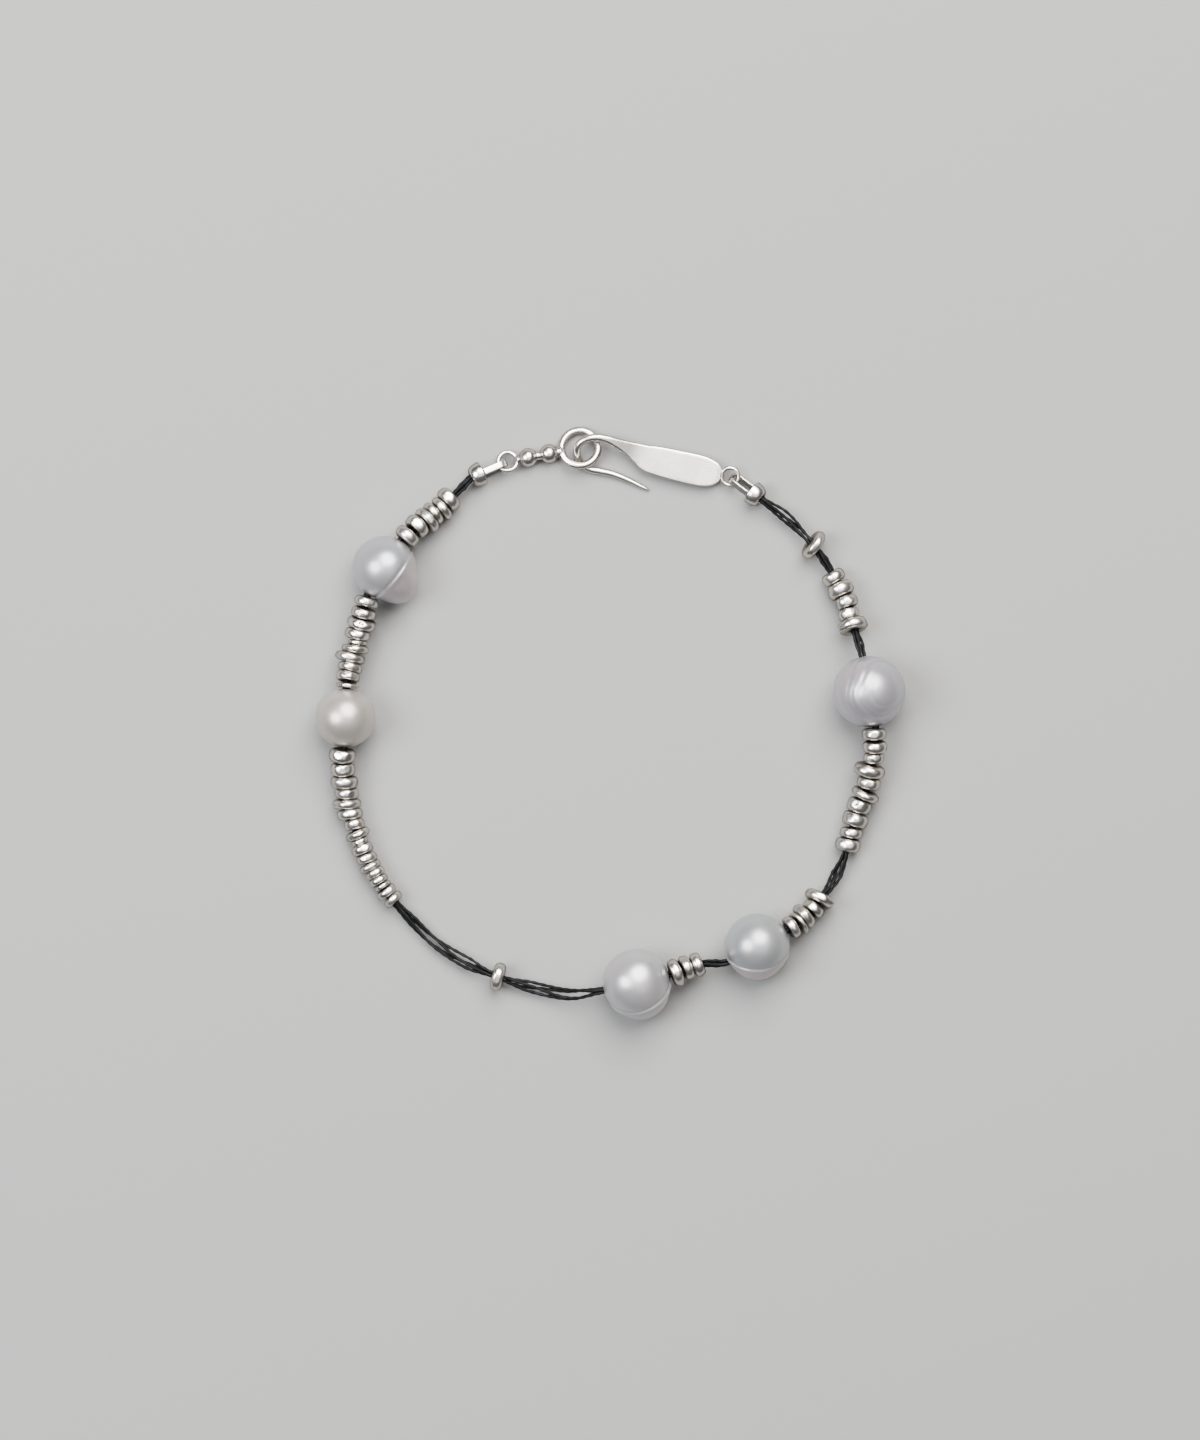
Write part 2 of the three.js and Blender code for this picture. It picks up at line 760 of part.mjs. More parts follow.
function spacerGeometry(diameter, thickness, sides) {
  const hole = CORD_DIAMETER / 2 + BEAD_SLACK;
  const radius = diameter / 2;
  const half = thickness / 2;
  const shoulder = Math.max(radius * SHOULDER, hole * LEAST_SHOULDER);
  const profile = [
    new THREE.Vector2(hole, -half * HOLE_HALF_HEIGHT),
    new THREE.Vector2(shoulder, -half),
    new THREE.Vector2(radius, -half * RIM_HALF_HEIGHT),
    new THREE.Vector2(radius, half * RIM_HALF_HEIGHT),
    new THREE.Vector2(shoulder, half),
    new THREE.Vector2(hole, half * HOLE_HALF_HEIGHT),
    new THREE.Vector2(hole, -half * HOLE_HALF_HEIGHT),
  ];
  return new THREE.LatheGeometry(profile, sides);
}

// Room that a bead needs beside a neighbour whose axis stands at an angle to its own.
function swingRoom(wide, axis, other) {
  return ((wide * BEAD_DIAMETER) / 2) * SHOULDER * Math.sin(axis.angleTo(other));
}

// Distances along the cord of the middles of a row's beads. The beads' thicknesses are
// drawn in or out together so that the row fills its part of the run.
function rowStations(row, route) {
  const run = route.runs[row.run];
  const from = run.start + (run.end - run.start) * row.from;
  const to = run.start + (run.end - run.start) * row.to;
  const metal = row.beads.reduce((sum, bead) => sum + bead.thick * BEAD_THICKNESS, 0);
  let walked = from;
  const axes = row.beads.map((bead) => {
    const depth = (bead.thick * BEAD_THICKNESS * (to - from)) / metal;
    walked += depth;
    return beadAxis(bead, walked - depth / 2, route);
  });
  const gapToPearl = (pearl, end) => {
    return PEARL_GAP + swingRoom(row.beads.at(end).wide, axes.at(end), heading(pearl.turn));
  };
  const start = from + (row.from === 0 ? gapToPearl(PEARLS[row.run - 1], 0) : 0);
  const end = to - (row.to === 1 ? gapToPearl(PEARLS[row.run], -1) : 0);
  const spaces = row.beads.slice(1).map((bead, i) => {
    const swing = swingRoom(Math.min(bead.wide, row.beads[i].wide), axes[i], axes[i + 1]);
    return row.fused ? swing * FUSED_SWING - SOLDER : swing + GAP;
  });
  const space = spaces.reduce((sum, value) => sum + value, 0);
  const draw = (end - start - space) / metal;
  let reached = start;
  return row.beads.map((bead, i) => {
    const thickness = bead.thick * BEAD_THICKNESS * draw;
    const middle = reached + thickness / 2;
    reached += thickness + (spaces[i] ?? 0);
    return { middle, thickness };
  });
}

function beadAxis(bead, distance, route) {
  const { along, left, over } = levelFrame(route.curve.getTangentAt(distance / route.length));
  const axis = along.applyAxisAngle(over, THREE.MathUtils.degToRad(bead.tilt));
  return axis.applyAxisAngle(left, THREE.MathUtils.degToRad(-bead.lean));
}

function spacer(name, bead, station, route, sides) {
  const share = station.middle / route.length;
  const { left } = levelFrame(route.curve.getTangentAt(share));
  const centre = route.curve.getPointAt(share).addScaledVector(left, bead.shift * BEAD_SLACK);
  const own = levelFrame(beadAxis(bead, station.middle, route));
  const geometry = spacerGeometry(bead.wide * BEAD_DIAMETER, station.thickness, sides);
  return setDown(made(name, geometry, silver()), centre, own.over, own.along, own.left);
}

function beadRow(row, route) {
  const stations = rowStations(row, route);
  const sides = row.fused ? FUSED_BEAD_SIDES : BEAD_SIDES;
  const beads = row.beads.map((bead, i) => {
    const name = row.beads.length === 1 ? row.name : `${row.name}_${i + 1}`;
    return spacer(name, bead, stations[i], route, sides);
  });
  if (!row.fused) {
    return beads;
  }
  const inPlace = beads.map((bead) => {
    bead.updateMatrix();
    return bead.geometry.applyMatrix4(bead.matrix);
  });
  return [made(row.name, join(inPlace), silver())];
}

function clasp() {
  const group = new THREE.Group();
  group.name = "clasp";
  group.add(ringPiece(), hook());
  group.add(cordEnd("cord_end_left", leftEndFrame(), SMALL_LOOP_WIRE));
  group.add(cordEnd("cord_end_right", rightEndFrame(), END_LOOP_WIRE));
  return group;
}

function string() {
  const group = new THREE.Group();
  group.name = "string";
  const route = cordRoute();
  group.add(cord(route), ...PEARLS.map(pearl));
  BEAD_ROWS.forEach((row) => group.add(...beadRow(row, route)));
  return group;
}

// Puts the middle of the outline in plan and the lowest point at the origin.
function bracelet() {
  const pieces = new THREE.Group().add(string(), clasp());
  const box = new THREE.Box3().setFromObject(pieces, true);
  const middle = box.getCenter(new THREE.Vector3());
  pieces.position.set(-middle.x, -middle.y, -box.min.z);
  const group = new THREE.Group().add(pieces);
  group.name = "pearl_bracelet";
  return group;
}

export default bracelet();
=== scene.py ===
"""Pearl bracelet with silver spacers on a waxed cord, fastened and lying flat."""

import math
from types import SimpleNamespace

import bmesh
import bpy
import numpy as np
from bpy.props import FloatProperty, FloatVectorProperty, PointerProperty
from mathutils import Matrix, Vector


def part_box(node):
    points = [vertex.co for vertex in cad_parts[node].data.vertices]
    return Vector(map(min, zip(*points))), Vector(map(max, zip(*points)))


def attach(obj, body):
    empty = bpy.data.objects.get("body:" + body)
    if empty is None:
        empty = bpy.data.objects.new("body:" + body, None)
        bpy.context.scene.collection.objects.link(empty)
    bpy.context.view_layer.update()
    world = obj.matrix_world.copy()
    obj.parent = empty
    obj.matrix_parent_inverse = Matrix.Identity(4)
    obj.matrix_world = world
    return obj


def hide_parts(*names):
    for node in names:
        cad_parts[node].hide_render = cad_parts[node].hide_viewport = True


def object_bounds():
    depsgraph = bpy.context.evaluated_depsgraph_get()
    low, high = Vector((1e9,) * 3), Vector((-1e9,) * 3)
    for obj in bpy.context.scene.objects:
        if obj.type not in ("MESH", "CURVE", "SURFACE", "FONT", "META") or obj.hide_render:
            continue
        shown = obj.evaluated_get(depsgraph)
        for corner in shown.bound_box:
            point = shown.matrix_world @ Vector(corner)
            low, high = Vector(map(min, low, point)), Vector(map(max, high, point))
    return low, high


bl_info = {
    "name": "Pearl Bracelet",
    "version": (1, 0, 0),
    "blender": (4, 5, 0),
    "location": "View3D > Sidebar > Bracelet",
    "description": "Builds a fastened bracelet of pearls and silver spacers on a waxed cord",
    "category": "Object",
}

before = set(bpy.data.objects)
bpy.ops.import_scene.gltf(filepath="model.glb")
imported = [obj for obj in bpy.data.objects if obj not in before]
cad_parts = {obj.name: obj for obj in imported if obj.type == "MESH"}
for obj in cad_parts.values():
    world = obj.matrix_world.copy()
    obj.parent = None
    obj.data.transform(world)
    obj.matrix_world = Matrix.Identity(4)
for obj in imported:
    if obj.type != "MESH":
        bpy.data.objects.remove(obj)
CAD_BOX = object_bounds()
MM = 0.001


# Tables of shapes and places

# Pearls in the cord's order. x, y: shares of the loop's width. turn: heading of the
# drilled hole in degrees. long, wide, tall: shares of the pearl's diameter along the
# hole, across it and upwards. lobe, away: the same kind of shares for the second lobe's
# diameter and its distance from the centre. bearing: the side where that lobe lies.
PEARL_COLUMNS = ("name", "x", "y", "turn", "long", "wide", "tall", "lobe", "away", "bearing")
PEARLS = [
    ("pearl_upper_left", -0.381, 0.261, -121.3, 0.96, 0.96, 0.96, 0.57, 0.33, -50),
    ("pearl_left", -0.447, 0.008, -92.4, 0.89, 0.93, 0.92, 0, 0, 0),
    ("pearl_bottom", 0.043, -0.437, 13.6, 1.01, 1.01, 1.02, 0.93, 0.115, -67),
    ("pearl_lower_right", 0.247, -0.376, 28.9, 0.98, 0.98, 0.99, 0.84, 0.09, -90),
    ("pearl_right", 0.435, 0.052, 100.4, 1.07, 1.1, 1.08, 0, 0, 0),
]
PEARLS = [SimpleNamespace(**dict(zip(PEARL_COLUMNS, row))) for row in PEARLS]

# Points of the cord between two posts, which are cord ends and pearls. x, y: shares of
# the loop's width. Third number: height as a share of the bead's diameter.
ROUTE_RUNS = [
    [(-0.269, 0.379, 0.56), (-0.305, 0.345, 0.78)],
    [(-0.421, 0.161, 1.0), (-0.438, 0.104, 0.95)],
    [
        (-0.451, -0.08, 0.89),
        (-0.444, -0.132, 0.62),
        (-0.428, -0.186, 0.56),
        (-0.408, -0.237, 0.52),
        (-0.382, -0.281, 0.52),
        (-0.345, -0.325, 0.38),
        (-0.3, -0.37, 0.31),
        (-0.247, -0.404, 0.44),
        (-0.192, -0.428, 0.59),
        (-0.129, -0.449, 0.38),
        (-0.068, -0.459, 0.69),
    ],
    [(0.149, -0.407, 1.05)],
    [
        (0.321, -0.332, 0.95),
        (0.347, -0.305, 0.73),
        (0.372, -0.274, 0.55),
        (0.394, -0.229, 0.52),
        (0.409, -0.175, 0.58),
        (0.429, -0.121, 0.76),
        (0.442, -0.065, 1.05),
    ],
    [
        (0.41, 0.161, 0.95),
        (0.396, 0.207, 0.67),
        (0.375, 0.251, 0.56),
        (0.343, 0.298, 0.63),
        (0.301, 0.342, 0.49),
    ],
]

# Rows of beads: name, the run of the cord that they sit on, start and end as shares of
# it, whether the row is one body, and the beads. wide, thick: shares of a bead's
# diameter and thickness. tilt, lean: degrees in plan and upwards. shift: share of the
# slack, to the left.
BEAD_ROWS = [
    ("spacer_upper_left", 0, 0.25, 1, False, [
        (1.02, 1.2, 0, 2, -0.4), (1.04, 0.78, -3, -3, 0.3), (1.0, 0.78, 1, 2, -0.5),
        (1.14, 0.88, 7, 0, 0), (1.04, 1.18, 11, -5, -0.3), (1.04, 1.15, 10, -11, 0.5),
    ]),
    ("spacer_row_left", 1, 0, 1, True, [
        (0.98, 0.88, -1, 9, 0.3), (0.98, 0.98, -6, 5, 0), (1.16, 0.98, -3, -3, 0),
        (1.0, 0.98, 4, 0, -0.5), (0.74, 0.5, 10, 3, 0.5), (1.08, 0.8, 10, 0, 0.3),
        (1.2, 0.88, 0, -2, -0.5), (0.98, 0.88, -4, -3, 0.3), (0.96, 0.88, -2, -6, 0),
        (0.9, 0.5, 0, -9, 0.3),
    ]),
    ("spacer_row_lower_left", 2, 0, 0.411, True, [
        (1.04, 1.18, 0, 10, -0.35), (0.98, 1.18, -2, 7, -0.1), (1.1, 1.08, -8, 3, 0),
        (0.95, 0.98, -11, -1, 0.3), (1.12, 0.88, -10, 0, -0.4), (1.02, 0.98, -9, 2, -0.3),
        (0.8, 0.96, -8, 0, 0.1), (1.0, 0.8, 6, -2, 0.1), (0.68, 0.6, 3, 0, -0.1),
        (0.88, 0.88, 2, 3, -0.2), (0.84, 0.86, -4, 0, 0.1), (0.91, 0.7, 1, -2, -0.2),
        (0.8, 0.78, 1, 0, 0.3), (0.8, 0.7, -2, 2, 0), (0.72, 0.5, -2, 0, 0.2),
        (0.84, 0.78, 1, -3, 0), (0.82, 0.78, 5, 9, 0.3),
    ]),
    ("spacer_alone_bottom", 2, 0.711, 0.738, False, [(1.14, 0.98, 6, 5, 0)]),
    ("spacer_bottom", 3, 0, 0.575, False, [
        (1.08, 0.98, 3, 8, 0), (0.98, 0.88, 4, 5, 0.2), (0.98, 0.98, 8, 1, 0),
    ]),
    ("spacer_lower_right", 4, 0, 0.231, False, [
        (0.94, 1.0, 3, 11, -0.2), (1.02, 0.5, 2, 8, -0.5), (1.1, 1.1, -2, 4, 0.2),
        (0.88, 1.1, 4, -2, -0.4), (1.22, 1.15, 14, 2, 0.3),
    ]),
    ("spacer_right", 4, 0.448, 1, False, [
        (1.02, 1.18, 4, 3, 0), (0.9, 0.98, 9, 0, -0.2), (1.06, 1.27, 2, -3, 0),
        (0.98, 1.27, 4, 0, 0.6), (1.14, 0.78, -9, 2, -0.2), (0.94, 1.08, 4, 0, -0.2),
        (1.24, 1.15, -2, -2, 0.6), (0.8, 0.98, 8, -3, -0.1), (0.98, 1.08, 5, -6, 0),
        (0.98, 1.08, 1, -10, 0.6),
    ]),
    ("spacer_upper_right", 5, 0.147, 0.48, False, [
        (1.2, 1.05, 1, 0, 0.1), (0.84, 0.98, -2, 3, 0.4), (0.9, 1.08, 2, 0, -0.2),
        (1.08, 1.25, 1, -3, 0.1), (0.94, 1.08, 1, 2, 0.3),
    ]),
    ("spacer_alone_right", 5, 0.62, 0.672, False, [(1.24, 0.95, 15, 14, -0.2)]),
]
ROW_COLUMNS = ("name", "run", "start", "end", "fused", "beads")
BEAD_COLUMNS = ("wide", "thick", "tilt", "lean", "shift")
BEAD_ROWS = [SimpleNamespace(**dict(zip(ROW_COLUMNS, row))) for row in BEAD_ROWS]
for bead_row in BEAD_ROWS:
    bead_row.beads = [
        SimpleNamespace(**dict(zip(BEAD_COLUMNS, bead))) for bead in bead_row.beads
    ]

# Casting knobs and dents: row, bead, angle round the bead from its top towards its
# left in degrees, place along the bead's axis as a share of half its thickness,
# height and radius in millimetres.
KNOBS = [
    ("spacer_row_left", 2, 0, -0.5, -0.3, 0.24),
    ("spacer_row_lower_left", 4, -72, 0.0, 0.16, 0.34),
    ("spacer_bottom", 0, -80, 0.2, 0.16, 0.3),
    ("spacer_lower_right", 4, -60, 0.1, 0.24, 0.36),
    ("spacer_upper_right", 0, 66, -0.2, 0.2, 0.36),
    ("spacer_upper_right", 3, -60, 0.3, 0.12, 0.3),
    ("spacer_right", 3, 20, 0.4, -0.16, 0.25),
    ("spacer_right", 6, 64, 0.0, 0.14, 0.28),
]

# Middle of the clasp's ring in shares of the loop's width. Turns and leans in degrees.
CLASP = SimpleNamespace(x=-0.052, y=0.464, ring_turn=10.5, hook_turn=-14)
RING_LEAN = -15
END_LOOP_LEAN = 8
# Cord ends: where round its loop each one holds the wire, its heading and its roll.
LEFT_END = SimpleNamespace(grip=208, turn=204, roll=0)
RIGHT_END = SimpleNamespace(grip=-34, turn=-37, roll=32)
# Middle of the hook's end loop: x, y and height as in the hook's sections below.
END_LOOP = (1, 0.057, 1.21)

# Sections of the hook from the tip of its tail to the end of its paddle. x, y: shares
# of the hook's length. Then height and thickness in shares of the wire, with the
# width as a share of the paddle's between them.
HOOK_SECTIONS = np.array([
    (0.515, -0.158, 0.32, 0.046, 0.18),
    (0.465, -0.148, 0.37, 0.122, 0.48),
    (0.344, -0.123, 0.44, 0.191, 0.76),
    (0.247, -0.112, 0.49, 0.22, 0.87),
    (0.167, -0.114, 0.53, 0.243, 0.97),
    (0.103, -0.117, 0.55, 0.252, 1),
    (0.053, -0.104, 0.57, 0.252, 1),
    (0.012, -0.073, 0.84, 0.252, 1),
    (-0.011, -0.033, 1.42, 0.252, 1),
    (-0.013, 0.012, 1.93, 0.252, 1),
    (0.008, 0.047, 2.18, 0.252, 1),
    (0.048, 0.076, 2.32, 0.252, 1),
    (0.101, 0.094, 2.32, 0.261, 1),
    (0.158, 0.097, 2.18, 0.284, 0.98),
    (0.217, 0.09, 1.93, 0.333, 0.92),
    (0.28, 0.08, 1.63, 0.42, 0.86),
    (0.337, 0.069, 1.38, 0.536, 0.8),
    (0.395, 0.055, 1.24, 0.696, 0.8),
    (0.455, 0.041, 1.21, 0.87, 0.8),
    (0.533, 0.04, 1.21, 0.942, 0.8),
    (0.647, 0.041, 1.21, 0.986, 0.8),
    (0.772, 0.044, 1.21, 1, 0.8),
    (0.842, 0.046, 1.21, 0.942, 0.8),
    (0.902, 0.049, 1.21, 0.754, 0.8),
    (0.939, 0.05, 1.21, 0.435, 0.69),
])

# Stretches of the cord where no bead holds its strands together: run, from, to.
BARE_STRETCHES = [
    (0, 0.0, 0.25),
    (2, 0.411, 0.711),
    (2, 0.738, 1.0),
    (3, 0.575, 1.0),
    (4, 0.231, 0.448),
    (5, 0.0, 0.147),
    (5, 0.48, 0.62),
    (5, 0.672, 1.0),
]


# Sizes and colours that a user can change


def length(name, description, millimetres):
    return FloatProperty(
        name=name,
        description=description,
        default=millimetres * MM,
        min=0.0,
        precision=5,
        subtype="DISTANCE",
        unit="LENGTH",
    )


def colour(name, description, value):
    return FloatVectorProperty(
        name=name,
        description=description,
        default=value,
        size=4,
        min=0.0,
        max=1.0,
        subtype="COLOR",
    )


class BraceletSizes(bpy.types.PropertyGroup):
    """Sizes that the pieces of the bracelet share."""

    loop_width: length("Loop width", "Outer width of the closed bracelet", 64)
    pearl: length("Pearl", "Diameter that the pearls' shares refer to", 7.2)
    bead: length("Bead", "Diameter that the beads' shares refer to", 2.75)
    bead_thickness: length("Bead thickness", "Thickness that the beads' shares refer to", 1.1)
    cord: length("Cord", "Diameter of the bundle of strands", 0.9)
    bead_slack: length("Bead slack", "Room that lets a bead sit off the cord's middle", 0.3)
    gap: length("Gap", "Smallest gap between neighbouring beads", 0.09)
    pearl_gap: length("Pearl gap", "Smallest gap between a row and a pearl", 0.04)
    solder: length("Solder", "Depth by which soldered pieces run into each other", 0.12)
    ring: length("Ring", "Outer diameter of the ring", 4.85)
    wire: length("Wire", "Diameter of the ring's and the hook's wire", 0.87)
    ball: length("Ball", "Diameter of the two balls", 2.15)
    ball_spacing: length("Ball spacing", "Distance between the balls' centres", 2.3)
    collar: length("Collar", "Diameter of the solder collars beside the balls", 1.15)
    small_loop: length("Small loop", "Outer diameter of the loop behind the balls", 2.6)
    small_wire: length("Small loop wire", "Diameter of the small loop's wire", 0.54)
    hook_length: length("Hook length", "From the ring's centre to the end loop's", 16.5)
    paddle: length("Paddle", "Greatest width of the hook's paddle", 3.45)
    end_loop: length("End loop", "Outer diameter of the hook's end loop", 2.35)
    end_wire: length("End loop wire", "Diameter of the end loop's wire", 0.48)
    cap: length("Cap", "Diameter of a cord end's cap", 2.7)
    cap_depth: length("Cap depth", "Depth of a cord end's cap", 1.45)
    cap_bore: length("Cap bore", "Depth of the cap's hole for the cord", 0.9)
    bail_reach: length("Bail reach", "From the held wire to the cap's flat side", 1.95)
    bail: length("Bail strap", "Thickness of the bail's strap", 0.28)
    bail_width: length("Bail width", "Width of the bail's strap", 0.76)
    bail_spread: length("Bail spread", "Half the distance between the bail's arms", 0.84)
    bail_play: length("Bail play", "Play between the bail and the wire it holds", 0.4)


class BraceletFinish(bpy.types.PropertyGroup):
    """Colours of the metal, the nacre and the cord."""

    silver: colour("Silver", "Polished silver", (0.94, 0.905, 0.85, 1))
    # The tarnish colour is also the one that the painted shade on the silver blends towards.
    tarnish: colour("Tarnish", "Darkened silver in the recesses", (0.17, 0.145, 0.12, 1))
    wax: colour("Waxed cord", "Black waxed thread", (0.006, 0.006, 0.007, 1))
    nacre_white: colour("White nacre", "Body of the bottom pearl", (0.455, 0.455, 0.47, 1))
    nacre_cool: colour("Cool nacre", "Body of the upper left pearl", (0.405, 0.42, 0.45, 1))
    nacre_cream: colour("Cream nacre", "Body of the left pearl", (0.475, 0.45, 0.41, 1))
    nacre_grey: colour("Silver-grey nacre", "Body of the lower right pearl", (0.38, 0.4, 0.415, 1))
    nacre_lilac: colour("Lilac nacre", "Body of the right pearl", (0.425, 0.42, 0.45, 1))
    blush: colour("Blush", "Pink overtone of the nacre", (0.53, 0.4, 0.39, 1))


class BraceletStage(bpy.types.PropertyGroup):
    """Floor, light and camera."""

    floor_colour: colour("Floor", "Plain pale floor", (0.31, 0.309, 0.305, 1))
    floor_height: FloatProperty(
        name="Floor height",
        description="Height of the floor under the bracelet",
        default=CAD_BOX[0][2],
        subtype="DISTANCE",
        unit="LENGTH",
    )
    view_height: length("Picture height", "Height of the floor that the picture shows", 155.5)
    camera_distance: length("Camera distance", "Height of the camera above the bracelet", 700)
    key_power: FloatProperty(
        name="Key light",
        description="Power of the large soft light",
        default=11.0,
        min=0.0,
        subtype="POWER",
        unit="POWER",
    )
    fill_power: FloatProperty(
        name="Fill light",
        description="Power of the second soft light",
        default=4.5,
        min=0.0,
        subtype="POWER",
        unit="POWER",
    )
    top_power: FloatProperty(
        name="Top light",
        description="Power of the broad light over the camera",
        default=4.0,
        min=0.0,
        subtype="POWER",
        unit="POWER",
    )


def in_millimetres(group):
    """The lengths of a property group, in millimetres."""
    names = group.bl_rna.properties.keys()
    return SimpleNamespace(**{
        name: getattr(group, name) / MM
        for name in names
        if isinstance(getattr(group, name), float)
    })


# Directions and frames

UP = np.array((0.0, 0.0, 1.0))


def unit(vector):
    return vector / np.linalg.norm(vector)


def heading(degrees):
    angle = math.radians(degrees)
    return np.array((math.cos(angle), math.sin(angle), 0.0))


def spun(vector, axis, degrees):
    """The vector turned about a unit axis."""
    angle = math.radians(degrees)
    side = np.cross(axis, vector)
    return (
        vector * math.cos(angle)
        + side * math.sin(angle)
        + axis * (axis @ vector) * (1 - math.cos(angle))
    )


def level_frame(direction):
    """Unit vectors along a direction, to its level left, and over both."""
    along = unit(direction)
    left = unit(np.cross(UP, along))
    return along, left, np.cross(along, left)


def placed(points, origin, x_axis, y_axis, z_axis):
    return points @ np.array((x_axis, y_axis, z_axis)) + origin


def curve_through(points, places):
    """Even Catmull-Rom curve through the points, at places from 0 to 1."""
    last = len(points) - 1
    before = 2 * points[0] - points[1]
    after = 2 * points[-1] - points[-2]
    padded = np.vstack((before, points, after))
    place = np.clip(places, 0, 1) * last
    index = np.minimum(place.astype(int), last - 1)
    w = (place - index)[:, None]
    p0, p1, p2, p3 = (padded[index + k] for k in range(4))
    leaving = 0.5 * (p2 - p0)
    arriving = 0.5 * (p3 - p1)
    square = -3 * p1 + 3 * p2 - 2 * leaving - arriving
    cube = 2 * p1 - 2 * p2 + leaving + arriving
    return p1 + leaving * w + square * w**2 + cube * w**3


# Places of the clasp's pieces


def ring_frame(sizes):
    along = heading(CLASP.ring_turn)
    over = spun(UP, along, RING_LEAN)
    left = np.cross(over, along)
    centre = np.array((CLASP.x * sizes.loop_width, CLASP.y * sizes.loop_width, sizes.ball / 2))
    return centre, along, left, over


def ring_stations(sizes):
    """Distances of the balls and of the small loop from the ring's centre."""
    near = sizes.ring / 2 + sizes.ball / 2 - sizes.solder
    far = near + sizes.ball_spacing
    loop = far + sizes.ball / 2 + sizes.small_loop / 2 - sizes.solder
    return near, far, loop


def hook_place(x, y, height, sizes):
    flat = spun(np.array((x, y, 0.0)) * sizes.hook_length, UP, CLASP.hook_turn)
    ring = np.array((CLASP.x, CLASP.y, 0.0)) * sizes.loop_width
    return ring + flat + UP * height * sizes.wire


def end_loop_frame(sizes):
    along = heading(CLASP.hook_turn)
    over = spun(UP, along, END_LOOP_LEAN)
    return hook_place(*END_LOOP, sizes), along, np.cross(over, along), over


def cord_end_frame(loop, diameter, wire, end, sizes):
    """Frame of a cord end that holds a loop's wire."""
    centre, _, _, over = loop
    flat = heading(end.grip)
    in_plane = unit(flat - over * (flat @ over))
    held = centre + in_plane * (diameter - wire) / 2
    rise = (sizes.cap / 2 + sizes.gap - held[2]) / sizes.bail_reach
    along, left, over = level_frame(heading(end.turn) + UP * rise)
    return held, along, spun(left, along, end.roll), spun(over, along, end.roll)


def left_end_frame(sizes):
    centre, along, left, over = ring_frame(sizes)
    loop = (centre - along * ring_stations(sizes)[2], along, left, over)
    return cord_end_frame(loop, sizes.small_loop, sizes.small_wire, LEFT_END, sizes)


def right_end_frame(sizes):
    return cord_end_frame(end_loop_frame(sizes), sizes.end_loop, sizes.end_wire, RIGHT_END, sizes)


# Route of the cord


def pearl_centre(pearl, sizes):
    height = pearl.tall * sizes.pearl / 2
    return np.array((pearl.x * sizes.loop_width, pearl.y * sizes.loop_width, height))


class Route:
    """The cord's path through the cord ends, the rows of beads and the pearls."""

    STEPS = 2000
    # Length of cord that lies loose in a cord end, and half the span over which the
    # cord's direction is measured, as a share of its curve.
    CAP_SLACK = 0.3
    NEAR = 1e-4

    def __init__(self, sizes):
        points = []
        runs = []
        left_end = left_end_frame(sizes)
        right_end = right_end_frame(sizes)
        tip = sizes.bail_reach + sizes.cap_depth - sizes.cap_bore + self.CAP_SLACK
        mouth = sizes.bail_reach + sizes.cap_depth
        points += [left_end[0] + left_end[1] * tip, left_end[0] + left_end[1] * mouth]
        runs.append([1])
        for number, run in enumerate(ROUTE_RUNS):
            shares = np.array((sizes.loop_width, sizes.loop_width, sizes.bead))
            points += [np.array(place) * shares for place in run]
            if number == len(PEARLS):
                break
            pearl = PEARLS[number]
            centre = pearl_centre(pearl, sizes)
            half = heading(pearl.turn) * pearl.long * sizes.pearl / 2
            points.append(centre - half)
            runs[-1].append(len(points) - 1)
            points += [centre, centre + half]
            runs.append([len(points) - 1])
        points.append(right_end[0] + right_end[1] * mouth)
        runs[-1].append(len(points) - 1)
        points.append(right_end[0] + right_end[1] * tip)
        self.points = np.array(points)
        self.places = np.linspace(0, 1, self.STEPS + 1)
        samples = curve_through(self.points, self.places)
        steps = np.linalg.norm(np.diff(samples, axis=0), axis=1)
        self.walked = np.concatenate(((0,), np.cumsum(steps)))
        self.length = self.walked[-1]
        last = len(points) - 1
        self.runs = [np.interp(np.array(run) / last, self.places, self.walked) for run in runs]

    def at(self, distance):
        """Points at distances along the cord, and the cord's directions there."""
        place = np.interp(np.atleast_1d(distance), self.walked, self.places)
        ahead = curve_through(self.points, np.minimum(place + self.NEAR, 1))
        behind = curve_through(self.points, np.maximum(place - self.NEAR, 0))
        steps = ahead - behind
        return curve_through(self.points, place), steps / np.linalg.norm(steps, axis=1)[:, None]

    def distance(self, run, share):
        start, end = self.runs[run]
        return start + (end - start) * share


# Meshes

PIECES = bpy.data.collections.new("Bracelet")
STAGE = bpy.data.collections.new("Stage")


def unevenness(points, wavelength, seed, waves=14):
    """Smooth seeded values, mostly between -1 and 1."""
    chance = np.random.default_rng(seed)
    total = np.zeros(len(points))
    for _ in range(waves):
        direction = unit(chance.normal(size=3))
        pitch = wavelength * chance.uniform(0.7, 1.6)
        waved = points @ direction * (2 * math.pi / pitch)
        total += np.sin(waved + chance.uniform(0, 2 * math.pi))
    return total / math.sqrt(2 * waves)


def tube_faces(rings, sides, closed=False):
    """Quads between rings of points, and round each ring."""
    faces = []
    for ring in range(rings if closed else rings - 1):
        here = ring * sides
        ahead = (ring + 1) % rings * sides
        for side in range(sides):
            turn = (side + 1) % sides
            faces.append((here + side, here + turn, ahead + turn, ahead + side))
    if not closed:
        faces.append(tuple(range(sides)))
        faces.append(tuple(range((rings - 1) * sides, rings * sides)))
    return faces


def joined(shells):
    """One list of points and one of faces from several."""
    points = []
    faces = []
    count = 0
    for shell_points, shell_faces in shells:
        points.append(shell_points)
        faces += [tuple(corner + count for corner in face) for face in shell_faces]
        count += len(shell_points)
    return np.vstack(points), faces


